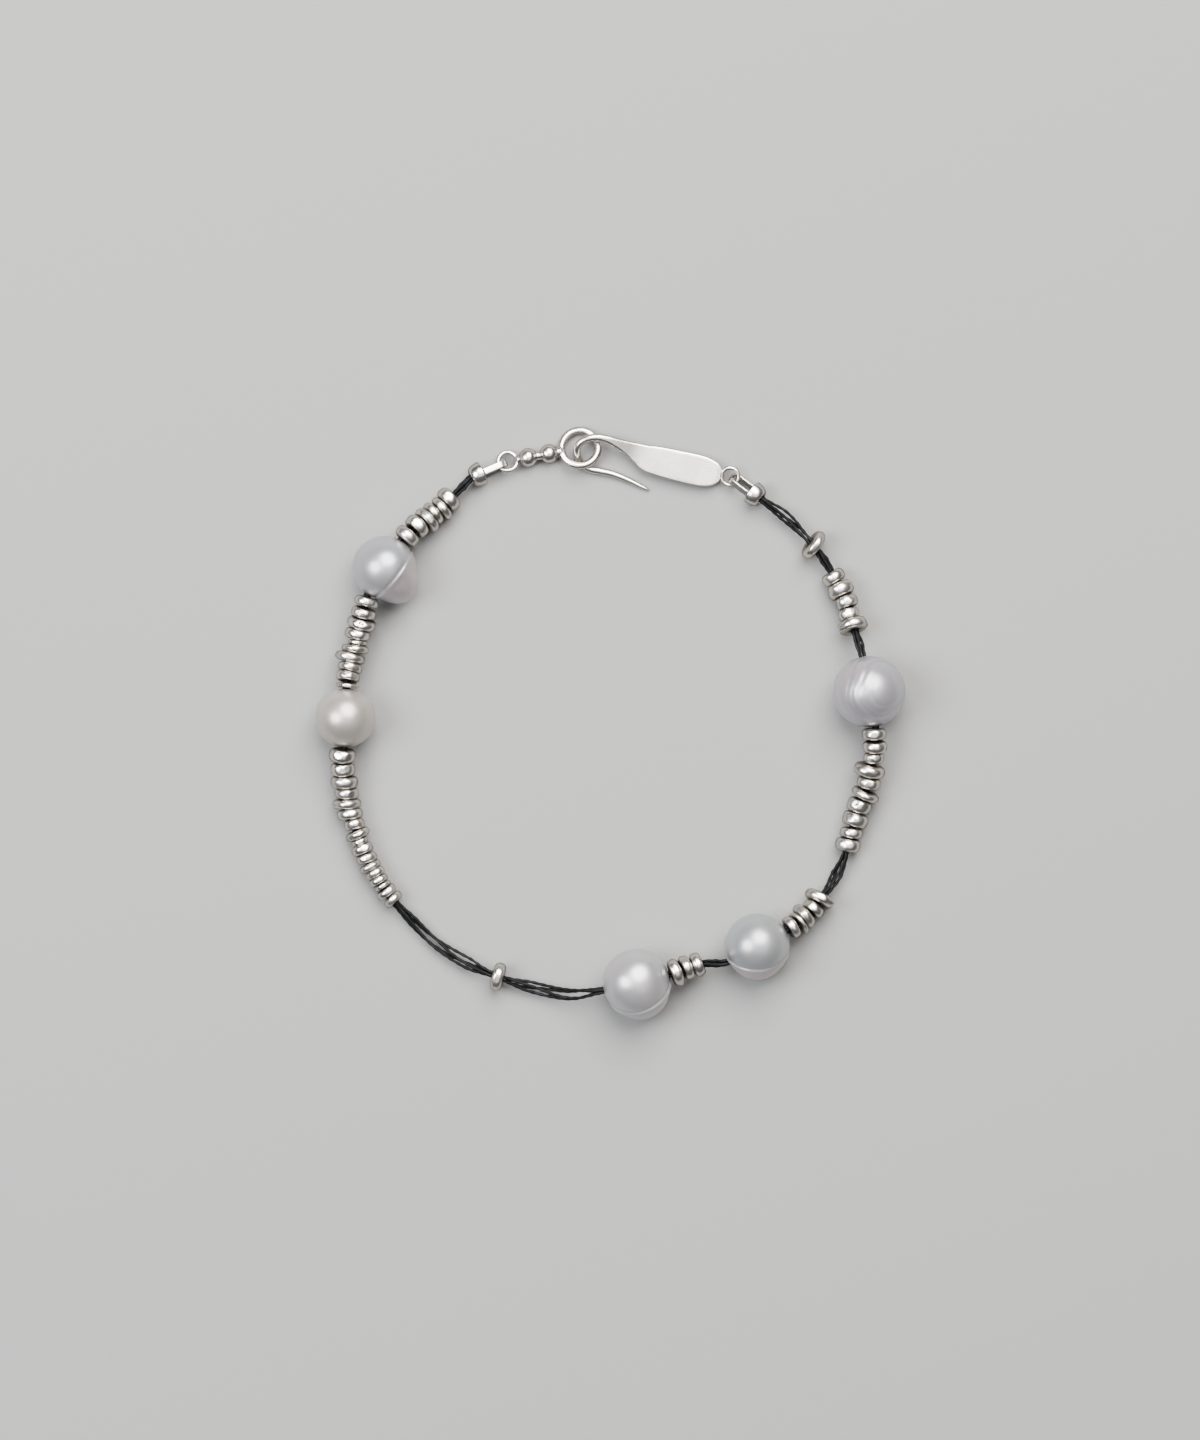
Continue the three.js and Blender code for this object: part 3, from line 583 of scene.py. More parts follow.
def new_mesh(name, points, faces):
    mesh = bpy.data.meshes.new(name)
    mesh.from_pydata(points.tolist(), [], faces)
    work = bmesh.new()
    work.from_mesh(mesh)
    bmesh.ops.recalc_face_normals(work, faces=work.faces)
    work.to_mesh(mesh)
    work.free()
    return mesh


def mesh_points(mesh):
    points = np.empty(len(mesh.vertices) * 3)
    mesh.vertices.foreach_get("co", points)
    return points.reshape(-1, 3)


def mesh_normals(mesh):
    normals = np.empty(len(mesh.vertices) * 3)
    mesh.vertex_normals.foreach_get("vector", normals)
    return normals.reshape(-1, 3)


def move_points(mesh, points):
    mesh.vertices.foreach_set("co", points.ravel())
    mesh.update()


def push_out(mesh, heights):
    """Moves each point of a mesh along its normal."""
    move_points(mesh, mesh_points(mesh) + mesh_normals(mesh) * heights[:, None])


def scaled_to_frame(mesh, shift):
    """Turns a mesh in millimetres into one in metres in the part's own frame."""
    move_points(mesh, (mesh_points(mesh) + shift) * MM)


def mask(mesh, name, values):
    """Keeps a value for each point, which the materials read by its name."""
    layer = mesh.attributes.new(name, "FLOAT", "POINT")
    layer.data.foreach_set("value", np.asarray(values, dtype=np.float32))


def frame_shift(sizes):
    """From the tables' origin to the part's own, in millimetres."""
    pearl = PEARLS[-1]
    low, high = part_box(pearl.name)
    middle = (np.array(low) + np.array(high)) / 2 / MM
    return middle - pearl_centre(pearl, sizes)


def finished_piece(mesh, material, nodes):
    """Puts a mesh into the scene as the piece that stands for these nodes."""
    if not mesh.polygons:
        raise RuntimeError(f"{mesh.name} has no faces")
    mesh.shade_smooth()
    mesh.materials.clear()
    mesh.materials.append(material)
    piece = bpy.data.objects.new(mesh.name, mesh)
    PIECES.objects.link(piece)
    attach(piece, "root")
    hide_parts(*nodes)
    return piece


def blank_from(name, shell):
    """An object for modifiers to work on, which isn't kept."""
    blank = bpy.data.objects.new(name, new_mesh(name, *shell))
    bpy.context.scene.collection.objects.link(blank)
    return blank


def worked_body(name, blanks):
    """The mesh that the first blank's modifiers make. All blanks are cleared away."""
    graph = bpy.context.evaluated_depsgraph_get()
    body = bpy.data.meshes.new_from_object(blanks[0].evaluated_get(graph), depsgraph=graph)
    body.name = name
    for blank in blanks:
        mesh = blank.data
        bpy.data.objects.remove(blank)
        bpy.data.meshes.remove(mesh)
    return body


def welded(name, shells):
    """One mesh that is the union of closed shells."""
    blanks = [blank_from(f"{name}_shell_{i}", shell) for i, shell in enumerate(shells)]
    for blank in blanks[1:]:
        union = blanks[0].modifiers.new("Weld", "BOOLEAN")
        union.operation = "UNION"
        union.solver = "EXACT"
        union.object = blank
    return worked_body(name, blanks)


def soldered(name, shells, grain, passes):
    """One mesh from shells that run into each other, with the joints flowed smooth."""
    blank = blank_from(name + "_shells", joined(shells))
    flow = blank.modifiers.new("Flow", "REMESH")
    flow.mode = "VOXEL"
    flow.voxel_size = grain
    relax = blank.modifiers.new("Relax", "SMOOTH")
    relax.factor = 0.5
    relax.iterations = passes
    return worked_body(name, [blank])


# Upward part of the normal above which silver gets no painted shade.
UNSHADED_SLOPE = 0.93


def painted_side_shade(normals, most):
    """Painted shade on silver that faces sideways or down, growing as its normal turns from upward,
    up to most.
    """
    return np.clip(1 - normals[:, 2] / UNSHADED_SLOPE, 0, 1) ** 0.7 * most


# Materials


class NodeSheet:
    """Short calls for adding and linking nodes in one node tree."""

    def __init__(self, tree):
        self.tree = tree

    def add(self, kind, inputs=None, **settings):
        node = self.tree.nodes.new(kind)
        for name, value in settings.items():
            setattr(node, name, value)
        for name, value in (inputs or {}).items():
            self.feed(node.inputs[name], value)
        return node

    def feed(self, socket, value):
        if isinstance(value, bpy.types.NodeSocket):
            self.tree.links.new(value, socket)
        else:
            socket.default_value = value

    def noise(self, place, scale, detail=3.0, roughness=0.5):
        inputs = {"Vector": place, "Scale": scale, "Detail": detail, "Roughness": roughness}
        return self.add("ShaderNodeTexNoise", inputs).outputs["Fac"]

    def object_place(self):
        return self.add("ShaderNodeTexCoord").outputs["Object"]

    def painted(self, name):
        """A mask that a piece carries for each of its points."""
        return self.add("ShaderNodeAttribute", attribute_name=name).outputs["Fac"]

    def math(self, operation, first, second=0.0, third=0.0):
        node = self.add("ShaderNodeMath", operation=operation)
        for socket, value in zip(node.inputs, (first, second, third)):
            self.feed(socket, value)
        return node.outputs[0]

    def ramp(self, value, low, high, to_low=0.0, to_high=1.0):
        given = {"Value": value, "From Min": low, "From Max": high}
        wanted = {"To Min": to_low, "To Max": to_high}
        return self.add("ShaderNodeMapRange", given | wanted).outputs["Result"]

    def blend(self, share, first, second):
        node = self.add("ShaderNodeMix", data_type="RGBA")
        self.feed(node.inputs["Factor"], share)
        first_colour, second_colour = node.inputs[6:8]
        self.feed(first_colour, first)
        self.feed(second_colour, second)
        return node.outputs[2]


def node_group(name, inputs, outputs):
    """A new shader node group, its sheet, its input sockets and its output node."""
    tree = bpy.data.node_groups.new(name, "ShaderNodeTree")
    for socket_name, kind, default in inputs:
        socket = tree.interface.new_socket(socket_name, in_out="INPUT", socket_type=kind)
        socket.default_value = default
    for socket_name, kind in outputs:
        tree.interface.new_socket(socket_name, in_out="OUTPUT", socket_type=kind)
    sheet = NodeSheet(tree)
    given = sheet.add("NodeGroupInput").outputs
    result = sheet.add("NodeGroupOutput")
    return sheet, given, result


FLOAT = "NodeSocketFloat"
COLOUR = "NodeSocketColor"
# Tone of the grooves between growth rings, which is also painted shade inside the pearls'
# drilled holes, the cord's wax where it is rubbed, and what silver keeps of its brightness
# where it is seen along its surface.
GROWTH_SHADE = (0.3, 0.3, 0.35, 1.0)
RUBBED_WAX = (0.014, 0.0135, 0.0145, 1.0)
SILVER_EDGE = (0.4, 0.38, 0.35, 1.0)


def silver_wear_and_shade_group():
    """Polished silver darkened towards its tarnish colour by a mask of tarnish and painted shade,
    with fine scratches and soft dents.
    """
    name = "Silver wear"
    if name in bpy.data.node_groups:
        return bpy.data.node_groups[name]
    sheet, given, result = node_group(
        name,
        [
            ("Silver", COLOUR, (0.9, 0.9, 0.88, 1)),
            ("Tarnish", COLOUR, (0.3, 0.25, 0.2, 1)),
            ("Recess", FLOAT, 0.0),
            ("Polish", FLOAT, 0.16),
            ("Dullness", FLOAT, 0.34),
            ("Dent scale", FLOAT, 900.0),
        ],
        [("Colour", COLOUR), ("Roughness", FLOAT), ("Height", FLOAT)],
    )
    place = sheet.object_place()
    broad = sheet.noise(place, 420.0, 3.0)
    fine = sheet.noise(place, 3800.0, 4.0, 0.6)
    stretch = {"Vector": place, "Scale": (900.0, 9000.0, 900.0)}
    stretched = sheet.add("ShaderNodeMapping", stretch).outputs[0]
    scratches = sheet.noise(stretched, 1.0, 2.0, 0.7)
    dents = sheet.noise(place, given["Dent scale"], 1.5, 0.45)
    uneven = sheet.ramp(broad, 0.35, 0.7)
    # The mask blends tarnish and painted shade into the silver's colour.
    shade = sheet.math("MULTIPLY", given["Recess"], sheet.ramp(fine, 0.2, 0.75, 0.55, 1.0))
    shade_and_stain = sheet.math("ADD", shade, sheet.math("MULTIPLY", uneven, 0.06))
    result_colour = sheet.blend(shade_and_stain, given["Silver"], given["Tarnish"])
    rough = sheet.math("MULTIPLY_ADD", uneven, 0.35, sheet.math("MULTIPLY", shade_and_stain, 0.65))
    spread = sheet.math("SUBTRACT", given["Dullness"], given["Polish"])
    roughness = sheet.math("MULTIPLY_ADD", rough, spread, given["Polish"])
    height = sheet.math("MULTIPLY_ADD", scratches, 0.08, sheet.math("MULTIPLY", fine, 0.1))
    height = sheet.math("ADD", height, dents)
    sheet.feed(result.inputs["Colour"], result_colour)
    sheet.feed(result.inputs["Roughness"], roughness)
    sheet.feed(result.inputs["Height"], height)
    return sheet.tree


def nacre_group():
    """Clouded nacre with a second tone, fine growth lines, painted shade in the drilled hole and
    small pits.
    """
    name = "Nacre"
    if name in bpy.data.node_groups:
        return bpy.data.node_groups[name]
    sheet, given, result = node_group(
        name,
        [
            ("Body", COLOUR, (0.85, 0.85, 0.85, 1)),
            ("Overtone", COLOUR, (0.88, 0.77, 0.76, 1)),
            ("Second skin", FLOAT, 0.0),
            ("Growth", FLOAT, 0.0),
            ("Cloud scale", FLOAT, 260.0),
            ("Cloud strength", FLOAT, 0.35),
        ],
        [("Colour", COLOUR), ("Roughness", FLOAT), ("Height", FLOAT)],
    )
    place = sheet.object_place()
    clouds = sheet.ramp(sheet.noise(place, given["Cloud scale"], 2.0, 0.5), 0.38, 0.68)
    fine = sheet.noise(place, 2600.0, 3.0, 0.6)
    pits = sheet.ramp(sheet.noise(place, 1500.0, 1.0, 0.4), 0.22, 0.34)
    tint = sheet.math("MULTIPLY", clouds, given["Cloud strength"])
    tint = sheet.math("ADD", tint, sheet.math("MULTIPLY", given["Second skin"], 0.55))
    toned = sheet.blend(tint, given["Body"], given["Overtone"])
    shade = sheet.math("MULTIPLY", given["Growth"], 0.7)
    result_colour = sheet.blend(shade, toned, GROWTH_SHADE)
    rough = sheet.math("MULTIPLY_ADD", clouds, 0.05, 0.35)
    rough = sheet.math("MULTIPLY_ADD", given["Growth"], 0.06, rough)
    height = sheet.math("MULTIPLY_ADD", fine, 0.12, sheet.math("MULTIPLY", pits, 0.3))
    sheet.feed(result.inputs["Colour"], result_colour)
    sheet.feed(result.inputs["Roughness"], rough)
    sheet.feed(result.inputs["Height"], height)
    return sheet.tree


def new_material(name):
    material = bpy.data.materials.new(name)
    material.use_nodes = True
    sheet = NodeSheet(material.node_tree)
    return material, sheet, material.node_tree.nodes["Principled BSDF"]


def wired_group(sheet, shader, tree, values, bump_depth, strength):
    """Places a group in a material and leads its outputs to the shader."""
    group = sheet.add("ShaderNodeGroup", node_tree=tree)
    for name, value in values.items():
        sheet.feed(group.inputs[name], value)
    bump = sheet.add("ShaderNodeBump", {
        "Height": group.outputs["Height"],
        "Distance": bump_depth,
        "Strength": strength,
    })
    sheet.feed(shader.inputs["Base Color"], group.outputs["Colour"])
    sheet.feed(shader.inputs["Roughness"], group.outputs["Roughness"])
    sheet.feed(shader.inputs["Normal"], bump.outputs["Normal"])


def silver_material(name, finish, polish, dullness, dent_scale, dent_depth):
    """Silver, from its roughness where polished and where dull. Dent depth in millimetres."""
    material, sheet, shader = new_material(name)
    values = {
        "Silver": tuple(finish.silver),
        "Tarnish": tuple(finish.tarnish),
        # Mask of tarnish and painted shade.
        "Recess": sheet.painted("recess"),
        "Polish": polish,
        "Dullness": dullness,
        "Dent scale": dent_scale,
    }
    wired_group(sheet, shader, silver_wear_and_shade_group(), values, dent_depth * MM, 0.6)
    shader.inputs["Metallic"].default_value = 1.0
    shader.inputs["Specular Tint"].default_value = SILVER_EDGE
    return material


def nacre_material(name, body, finish, clouds):
    material, sheet, shader = new_material(name)
    values = {
        "Body": tuple(body),
        "Overtone": tuple(finish.blush),
        "Second skin": sheet.painted("second_skin"),
        # The growth mask also carries the painted shade inside the drilled hole.
        "Growth": sheet.painted("growth"),
        "Cloud strength": clouds,
    }
    wired_group(sheet, shader, nacre_group(), values, 0.02 * MM, 0.35)
    shader.inputs["Metallic"].default_value = 0.58
    shader.inputs["IOR"].default_value = 1.6
    shader.inputs["Coat Weight"].default_value = 0.6
    shader.inputs["Coat Roughness"].default_value = 0.24
    shader.inputs["Coat IOR"].default_value = 1.5
    shader.inputs["Subsurface Weight"].default_value = 0.12
    shader.inputs["Subsurface Scale"].default_value = 0.001
    return material


def waxed_cord_material(finish):
    """Black waxed thread with dull fibres and rubbed, shinier patches."""
    material, sheet, shader = new_material("waxed_cord")
    place = sheet.object_place()
    fibre = sheet.noise(place, 5200.0, 3.0, 0.65)
    rubbed = sheet.ramp(sheet.noise(place, 900.0, 2.0), 0.45, 0.7)
    shine = sheet.blend(rubbed, tuple(finish.wax), RUBBED_WAX)
    relief = {"Height": fibre, "Distance": 0.04 * MM, "Strength": 0.8}
    bump = sheet.add("ShaderNodeBump", relief)
    sheet.feed(shader.inputs["Base Color"], shine)
    sheet.feed(shader.inputs["Roughness"], sheet.ramp(rubbed, 0.0, 1.0, 0.62, 0.42))
    sheet.feed(shader.inputs["Normal"], bump.outputs["Normal"])
    shader.inputs["Specular IOR Level"].default_value = 0.3
    return material


# Pearls

# Flat face of a pearl: direction in plan in degrees, and depth as a share of the radius.
FLAT_SIDES = {"pearl_left": (176, 0.925)}
# Direction that the growth rings lie around, right, away and up.
GROWTH_AXES = {"pearl_right": (0.52, 0.2, 0.83)}
# Fold round a pearl: bearing and dip of its axis in degrees, its distance from the
# centre as a share of the radius, the width over which the two lobes flow together and
# the height of the fold's lip, both in millimetres, and the blush of the second lobe.
FOLD_COLUMNS = ("bearing", "dip", "depth", "flow", "lip", "blush")
FOLDS = {
    "pearl_upper_left": (-37, 13, 0.38, 1.0, 0.08, 0.55),
    "pearl_bottom": (-66, 37, 0.35, 0.3, 0.13, 0.25),
    "pearl_lower_right": (-88, 37, 0.21, 0.3, 0.11, 0.85),
}
FOLDS = {name: SimpleNamespace(**dict(zip(FOLD_COLUMNS, row))) for name, row in FOLDS.items()}
# Colour of each pearl's nacre, and the strength of its clouds.
NACRES = {
    "pearl_upper_left": ("nacre_cool", 0.25),
    "pearl_left": ("nacre_cream", 0.2),
    "pearl_bottom": ("nacre_white", 0.22),
    "pearl_lower_right": ("nacre_grey", 0.3),
    "pearl_right": ("nacre_lilac", 0.25),
}
PEARL_SIDES = 208
PEARL_RINGS = 156
# Lengths here are in millimetres, apart from the dip's width, an angle in radians.
# Radius at which the skin's unevenness is worked out, radius of the drilled hole, width
# and depth of the dip round it, and how far the skin lies inside the pearl's full size.
SKIN_RADIUS = 3.6
PEARL_DRILL = 0.54
HOLE_DIP_WIDTH = 0.09
HOLE_DIP = 0.015
SKIN_DEPTH = 0.05
# Heights of the skin's broad bulges, small unevenness and growth rings.
BULGES = 0.035
SMALL_UNEVENNESS = 0.007
GROWTH_RELIEF = 0.04
# Width of a fold's lip and of its edge of blush, and the groove beside the lip: how far
# off it lies, its width, and its depth as a share of the lip's height.
LIP_WIDTH = 0.15
BLUSH_EDGE = 0.07
GROOVE_PLACE = 0.36
GROOVE_WIDTH = 0.2
GROOVE_DEPTH = 0.8


def pearl_skin(pearl, directions, sizes):
    """Distance from the centre to the skin of a body with or without a second lobe."""
    half = np.array((pearl.wide, pearl.tall, pearl.long)) * sizes.pearl / 2
    body = 1 / np.linalg.norm(directions / half, axis=1)
    if pearl.name not in FOLDS:
        return body
    angle = math.radians(pearl.bearing - pearl.turn)
    offset = np.array((math.sin(angle), 0, math.cos(angle))) * pearl.away * sizes.pearl
    radius = pearl.lobe * sizes.pearl / 2
    along = directions @ offset
    reach = radius**2 - offset @ offset + along**2
    lobe = np.where(reach > 0, along + np.sqrt(np.maximum(reach, 0)), 0)
    flow = FOLDS[pearl.name].flow
    return np.maximum(body, lobe) + np.maximum(flow - np.abs(lobe - body), 0) ** 2 / (4 * flow)


def distance_past_fold(pearl, world, reach, seed, sizes):
    """Distance over the skin from the fold, below nothing on the body's side."""
    fold = FOLDS[pearl.name]
    dip = math.radians(fold.dip)
    axis = heading(fold.bearing) * math.cos(dip) - UP * math.sin(dip)
    radius = pearl.wide * sizes.pearl / 2
    past = ((world @ axis) * reach - fold.depth * radius) / math.sqrt(1 - fold.depth**2)
    below = np.clip(0.1 - world @ UP, 0, 1)
    return past + unevenness(world * radius, 4.5, seed) * (0.09 + 0.5 * below)


def fold_relief(fold, past, world):
    """Height of a fold's lip and of the groove beside it, which fade underneath."""
    lip = fold.lip * np.clip(1.05 + world @ UP, 0.15, 1)
    raised = lip * np.exp(-((past / LIP_WIDTH) ** 2))
    groove = GROOVE_DEPTH * lip * np.exp(-(((past + GROOVE_PLACE) / GROOVE_WIDTH) ** 2))
    return raised - groove


def growth_rings(world, axis, seed):
    """Rings of growth about an axis: heights between -1 and 1, least at both ends."""
    angle = np.arccos(np.clip(world @ unit(axis), -1, 1))
    wander = unevenness(world, 1.1, seed) * 0.22
    fine = np.sin((angle + wander) * 34) * 0.5
    coarse = np.sin((angle + wander * 0.6) * 19 + 1.3) * 0.6
    fade = np.clip((angle - 0.35) / 0.3, 0, 1) * np.clip((2.2 - angle) / 0.5, 0, 1)
    side = np.clip(0.55 + 0.2 * world[:, 1], 0, 1)
    return (fine + coarse) * fade * side


def hole_rings(skin, turns):
    """Rings of points down the drilled hole, from the skin's last ring to its first."""
    first = skin[: len(turns), 2].mean()
    last = skin[-len(turns) :, 2].mean()
    rim = np.linalg.norm(skin[-len(turns) :, :2], axis=1).mean()
    circle = np.column_stack((np.cos(turns), np.sin(turns))) * min(rim, PEARL_DRILL)
    heights = last + (first - last) * np.linspace(0.04, 0.96, 9)
    return [np.column_stack((circle, np.full(len(turns), height))) for height in heights]


def pearl_mesh(pearl, seed, sizes):
    """Drilled pearl, worked out in its own frame: left, up and along the cord."""
    edge = math.asin(PEARL_DRILL / (sizes.pearl * pearl.long / 2))
    polar = np.linspace(edge, math.pi - edge, PEARL_RINGS)
    turns = np.linspace(0, 2 * math.pi, PEARL_SIDES, endpoint=False)
    p = np.repeat(polar, PEARL_SIDES)
    t = np.tile(turns, PEARL_RINGS)
    directions = np.column_stack((np.sin(p) * np.cos(t), np.sin(p) * np.sin(t), np.cos(p)))
    along = heading(pearl.turn)
    left = np.cross(UP, along)
    world = directions @ np.array((left, UP, along))
    reach = pearl_skin(pearl, directions, sizes) - SKIN_DEPTH * np.sin(p)
    second = np.zeros(len(directions))
    if pearl.name in FOLDS:
        fold = FOLDS[pearl.name]
        past = distance_past_fold(pearl, world, reach, seed + 2, sizes)
        second = fold.blush / (1 + np.exp(-past / BLUSH_EDGE))
        reach = reach + fold_relief(fold, past, world)
    places = directions * SKIN_RADIUS
    reach = reach + unevenness(places, 5.0, seed) * BULGES
    reach = reach + unevenness(places, 1.8, seed + 1) * SMALL_UNEVENNESS
    growth = np.zeros(len(directions))
    if pearl.name in GROWTH_AXES:
        growth = growth_rings(world, np.array(GROWTH_AXES[pearl.name]), seed)
        reach = reach + growth * GROWTH_RELIEF
    if pearl.name in FLAT_SIDES:
        bearing, depth = FLAT_SIDES[pearl.name]
        facing = np.maximum(world @ heading(bearing), 1e-3)
        reach = np.minimum(reach, depth * sizes.pearl * pearl.wide / 2 / facing)
    from_hole = np.clip((np.minimum(p, math.pi - p) - edge) / HOLE_DIP_WIDTH, 0, 1)
    reach = reach - HOLE_DIP * (1 - from_hole) ** 2
    skin = directions * reach[:, None]
    hole = hole_rings(skin, turns)
    points = placed(np.vstack((skin, *hole)), pearl_centre(pearl, sizes), left, UP, along)
    faces = tube_faces(PEARL_RINGS + len(hole), PEARL_SIDES, closed=True)
    mesh = new_mesh(pearl.name, points, faces)
    inside = np.zeros(len(hole) * PEARL_SIDES)
    mask(mesh, "second_skin", np.concatenate((second, inside)))
    # The growth mask is full inside the drilled hole, which paints shade there in the grooves' tone.
    mask(mesh, "growth", np.concatenate((np.clip(-growth, 0, 1), inside + 1)))
    return mesh


class BRACELET_OT_pearls(bpy.types.Operator):
    """Make the five drilled pearls with their creases, flats and growth rings"""

    bl_idname = "bracelet.pearls"
    bl_label = "Pearls"
    bl_options = {"REGISTER", "UNDO"}

    def execute(self, context):
        sizes = in_millimetres(context.scene.bracelet_sizes)
        finish = context.scene.bracelet_finish
        shift = frame_shift(sizes)
        for number, pearl in enumerate(PEARLS):
            mesh = pearl_mesh(pearl, 10 + number, sizes)
            scaled_to_frame(mesh, shift)
            body, clouds = NACRES[pearl.name]
            name = "nacre_" + pearl.name
            material = nacre_material(name, getattr(finish, body), finish, clouds)
            finished_piece(mesh, material, [pearl.name])
        return {"FINISHED"}


# Spacer beads

# Share of its radius at which a leaning bead touches the next one, and share of that
# room which the beads of a fused row keep.
SHOULDER = 0.68
FUSED_SWING = 0.4
BEAD_AROUND = 56
BEAD_FLATS = 9
# Lengths in millimetres: play of the cord in a bead's hole, the hairline left between
# the beads of a fused row, and how far its end beads stand out. GAP_FILL: share of the
# gap that single beads fill.
HOLE_PLAY = 0.17
HAIRLINE = 0.02
END_REACH = 0.05
GAP_FILL = 0.7


def bead_axis(bead, distance, route):
    """Direction of a bead's hole, tilted and leaning against the cord there."""
    along, left, over = level_frame(route.at(distance)[1][0])
    return spun(spun(along, over, bead.tilt), left, -bead.lean)


def swing_room(wide, axis, other, sizes):
    """Room along the cord that a bead needs beside one that lies at an angle to it."""
    angle = math.acos(min(1.0, axis @ other))
    return wide * sizes.bead / 2 * SHOULDER * math.sin(angle)


def row_stations(row, route, sizes):
    """Middle and thickness of each bead of a row."""
    start = route.distance(row.run, row.start)
    end = route.distance(row.run, row.end)
    metal = sum(bead.thick for bead in row.beads) * sizes.bead_thickness
    walked = start
    axes = []
    for bead in row.beads:
        depth = bead.thick * sizes.bead_thickness * (end - start) / metal
        walked += depth
        axes.append(bead_axis(bead, walked - depth / 2, route))
    if row.start == 0:
        post = heading(PEARLS[row.run - 1].turn)
        start += sizes.pearl_gap + swing_room(row.beads[0].wide, axes[0], post, sizes)
    if row.end == 1:
        post = heading(PEARLS[row.run].turn)
        end -= sizes.pearl_gap + swing_room(row.beads[-1].wide, axes[-1], post, sizes)
    spaces = []
    for i in range(len(row.beads) - 1):
        narrow = min(row.beads[i].wide, row.beads[i + 1].wide)
        swing = swing_room(narrow, axes[i], axes[i + 1], sizes)
        spaces.append(swing * FUSED_SWING - sizes.solder if row.fused else swing + sizes.gap)
    draw = (end - start - sum(spaces)) / metal
    stations = []
    reached = start
    for bead, space in zip(row.beads, spaces + [0]):
        thickness = bead.thick * sizes.bead_thickness * draw
        stations.append((reached + thickness / 2, thickness))
        reached += thickness + space
    return stations


def drawn_station(station, number, row, sizes):
    """Middle and thickness of a bead as it is shown, all but touching the next ones."""
    middle, thickness = station
    if not row.fused:
        return middle, thickness + sizes.gap * GAP_FILL
    slimmer = sizes.solder + HAIRLINE
    outward = (number == len(row.beads) - 1) - (number == 0)
    return middle + outward * (END_REACH + slimmer / 2), thickness - slimmer


def bead_profile(radius, half, hole):
    """Closed profile of a rounded bead: radius, height, and tarnish with painted shade, full in the
    hole and growing onto the faces that meet the next beads.
    """
    shoulder = max(radius * 0.58, hole * 1.12)
    # Third number: tarnish with painted shade, full in the hole and fading out of it.
    profile = [(hole, -half * 0.5, 1.0), (hole, 0.0, 1.0), (hole, half * 0.5, 1.0)]
    profile += [(hole + 0.04, half * 0.8, 0.95), (hole + 0.12, half * 0.9, 0.7)]
    for angle in np.radians(np.linspace(90, -90, 19)):
        across = math.cos(angle) ** 0.84
        up = abs(math.sin(angle)) ** 0.9 * math.copysign(1, angle)
        # Tarnish with painted shade grows towards the faces that meet the next beads.
        recess = max(0.0, abs(up) - 0.82) * 2.4
        profile.append((shoulder + (radius - shoulder) * across, half * up, recess))
    profile += [(hole + 0.12, -half * 0.9, 0.7), (hole + 0.04, -half * 0.8, 0.95)]
    return np.array(profile)


def hammered(points, radius, free, seed):
    """Presses small flats into a bead's outside, each facing its own way."""
    chance = np.random.default_rng(seed)
    for _ in range(BEAD_FLATS):
        turn = chance.uniform(0, 2 * math.pi)
        rise = chance.normal(0, 0.35)
        facing = unit(np.array((math.cos(turn), rise, math.sin(turn))))
        depth = radius * chance.uniform(0.93, 0.985)
        beyond = np.maximum(points @ facing - depth, 0)
        points = points - np.outer(beyond * 0.75 * free, facing)
    return points


def bead_shell(bead, station, seed, knobs, route, sizes):
    """A hand-made bead in place: points, faces, and tarnish with painted shade at each point."""
    middle, thickness = station
    radius = bead.wide * sizes.bead / 2
    half = thickness / 2
    hole = sizes.cord / 2 + HOLE_PLAY
    profile = bead_profile(radius, half, hole)
    angles = np.linspace(0, 2 * math.pi, BEAD_AROUND, endpoint=False)
    over = np.outer(profile[:, 0], np.cos(angles))
    left = np.outer(profile[:, 0], np.sin(angles))
    along = np.repeat(profile[:, 1][:, None], BEAD_AROUND, axis=1)
    points = np.stack((over, along, left), axis=-1).reshape(-1, 3)
    recess = np.repeat(profile[:, 2], BEAD_AROUND)
    outside = (np.hypot(points[:, 0], points[:, 2]) - hole - 0.05) / (0.3 * radius)
    free = np.clip(outside, 0, 1)
    points = hammered(points, radius, free, seed)
    wobble = unevenness(points, 1.5, seed + 500) * 0.03
    wobble += unevenness(points, 0.55, seed + 700) * 0.008
    outward = points * np.array((1, 0.6, 1))
    outward /= np.linalg.norm(outward, axis=1)[:, None]
    points = points + outward * (wobble * free)[:, None]
    for angle, share, height, spread in knobs:
        turn = math.radians(angle)
        place = np.array((math.cos(turn) * radius, share * half, math.sin(turn) * radius))
        near = np.exp(-((np.linalg.norm(points - place, axis=1) / spread) ** 2))
        points = points + outward * (near * height * free)[:, None]
        recess = recess * (1 - near * 0.5)
    centres, directions = route.at(middle)
    sideways = level_frame(directions[0])[1]
    centre = centres[0] + sideways * bead.shift * sizes.bead_slack
    own_along, own_left, own_over = level_frame(bead_axis(bead, middle, route))
    in_place = placed(points, centre, own_over, own_along, own_left)
    return in_place, tube_faces(len(profile), BEAD_AROUND, closed=True), recess


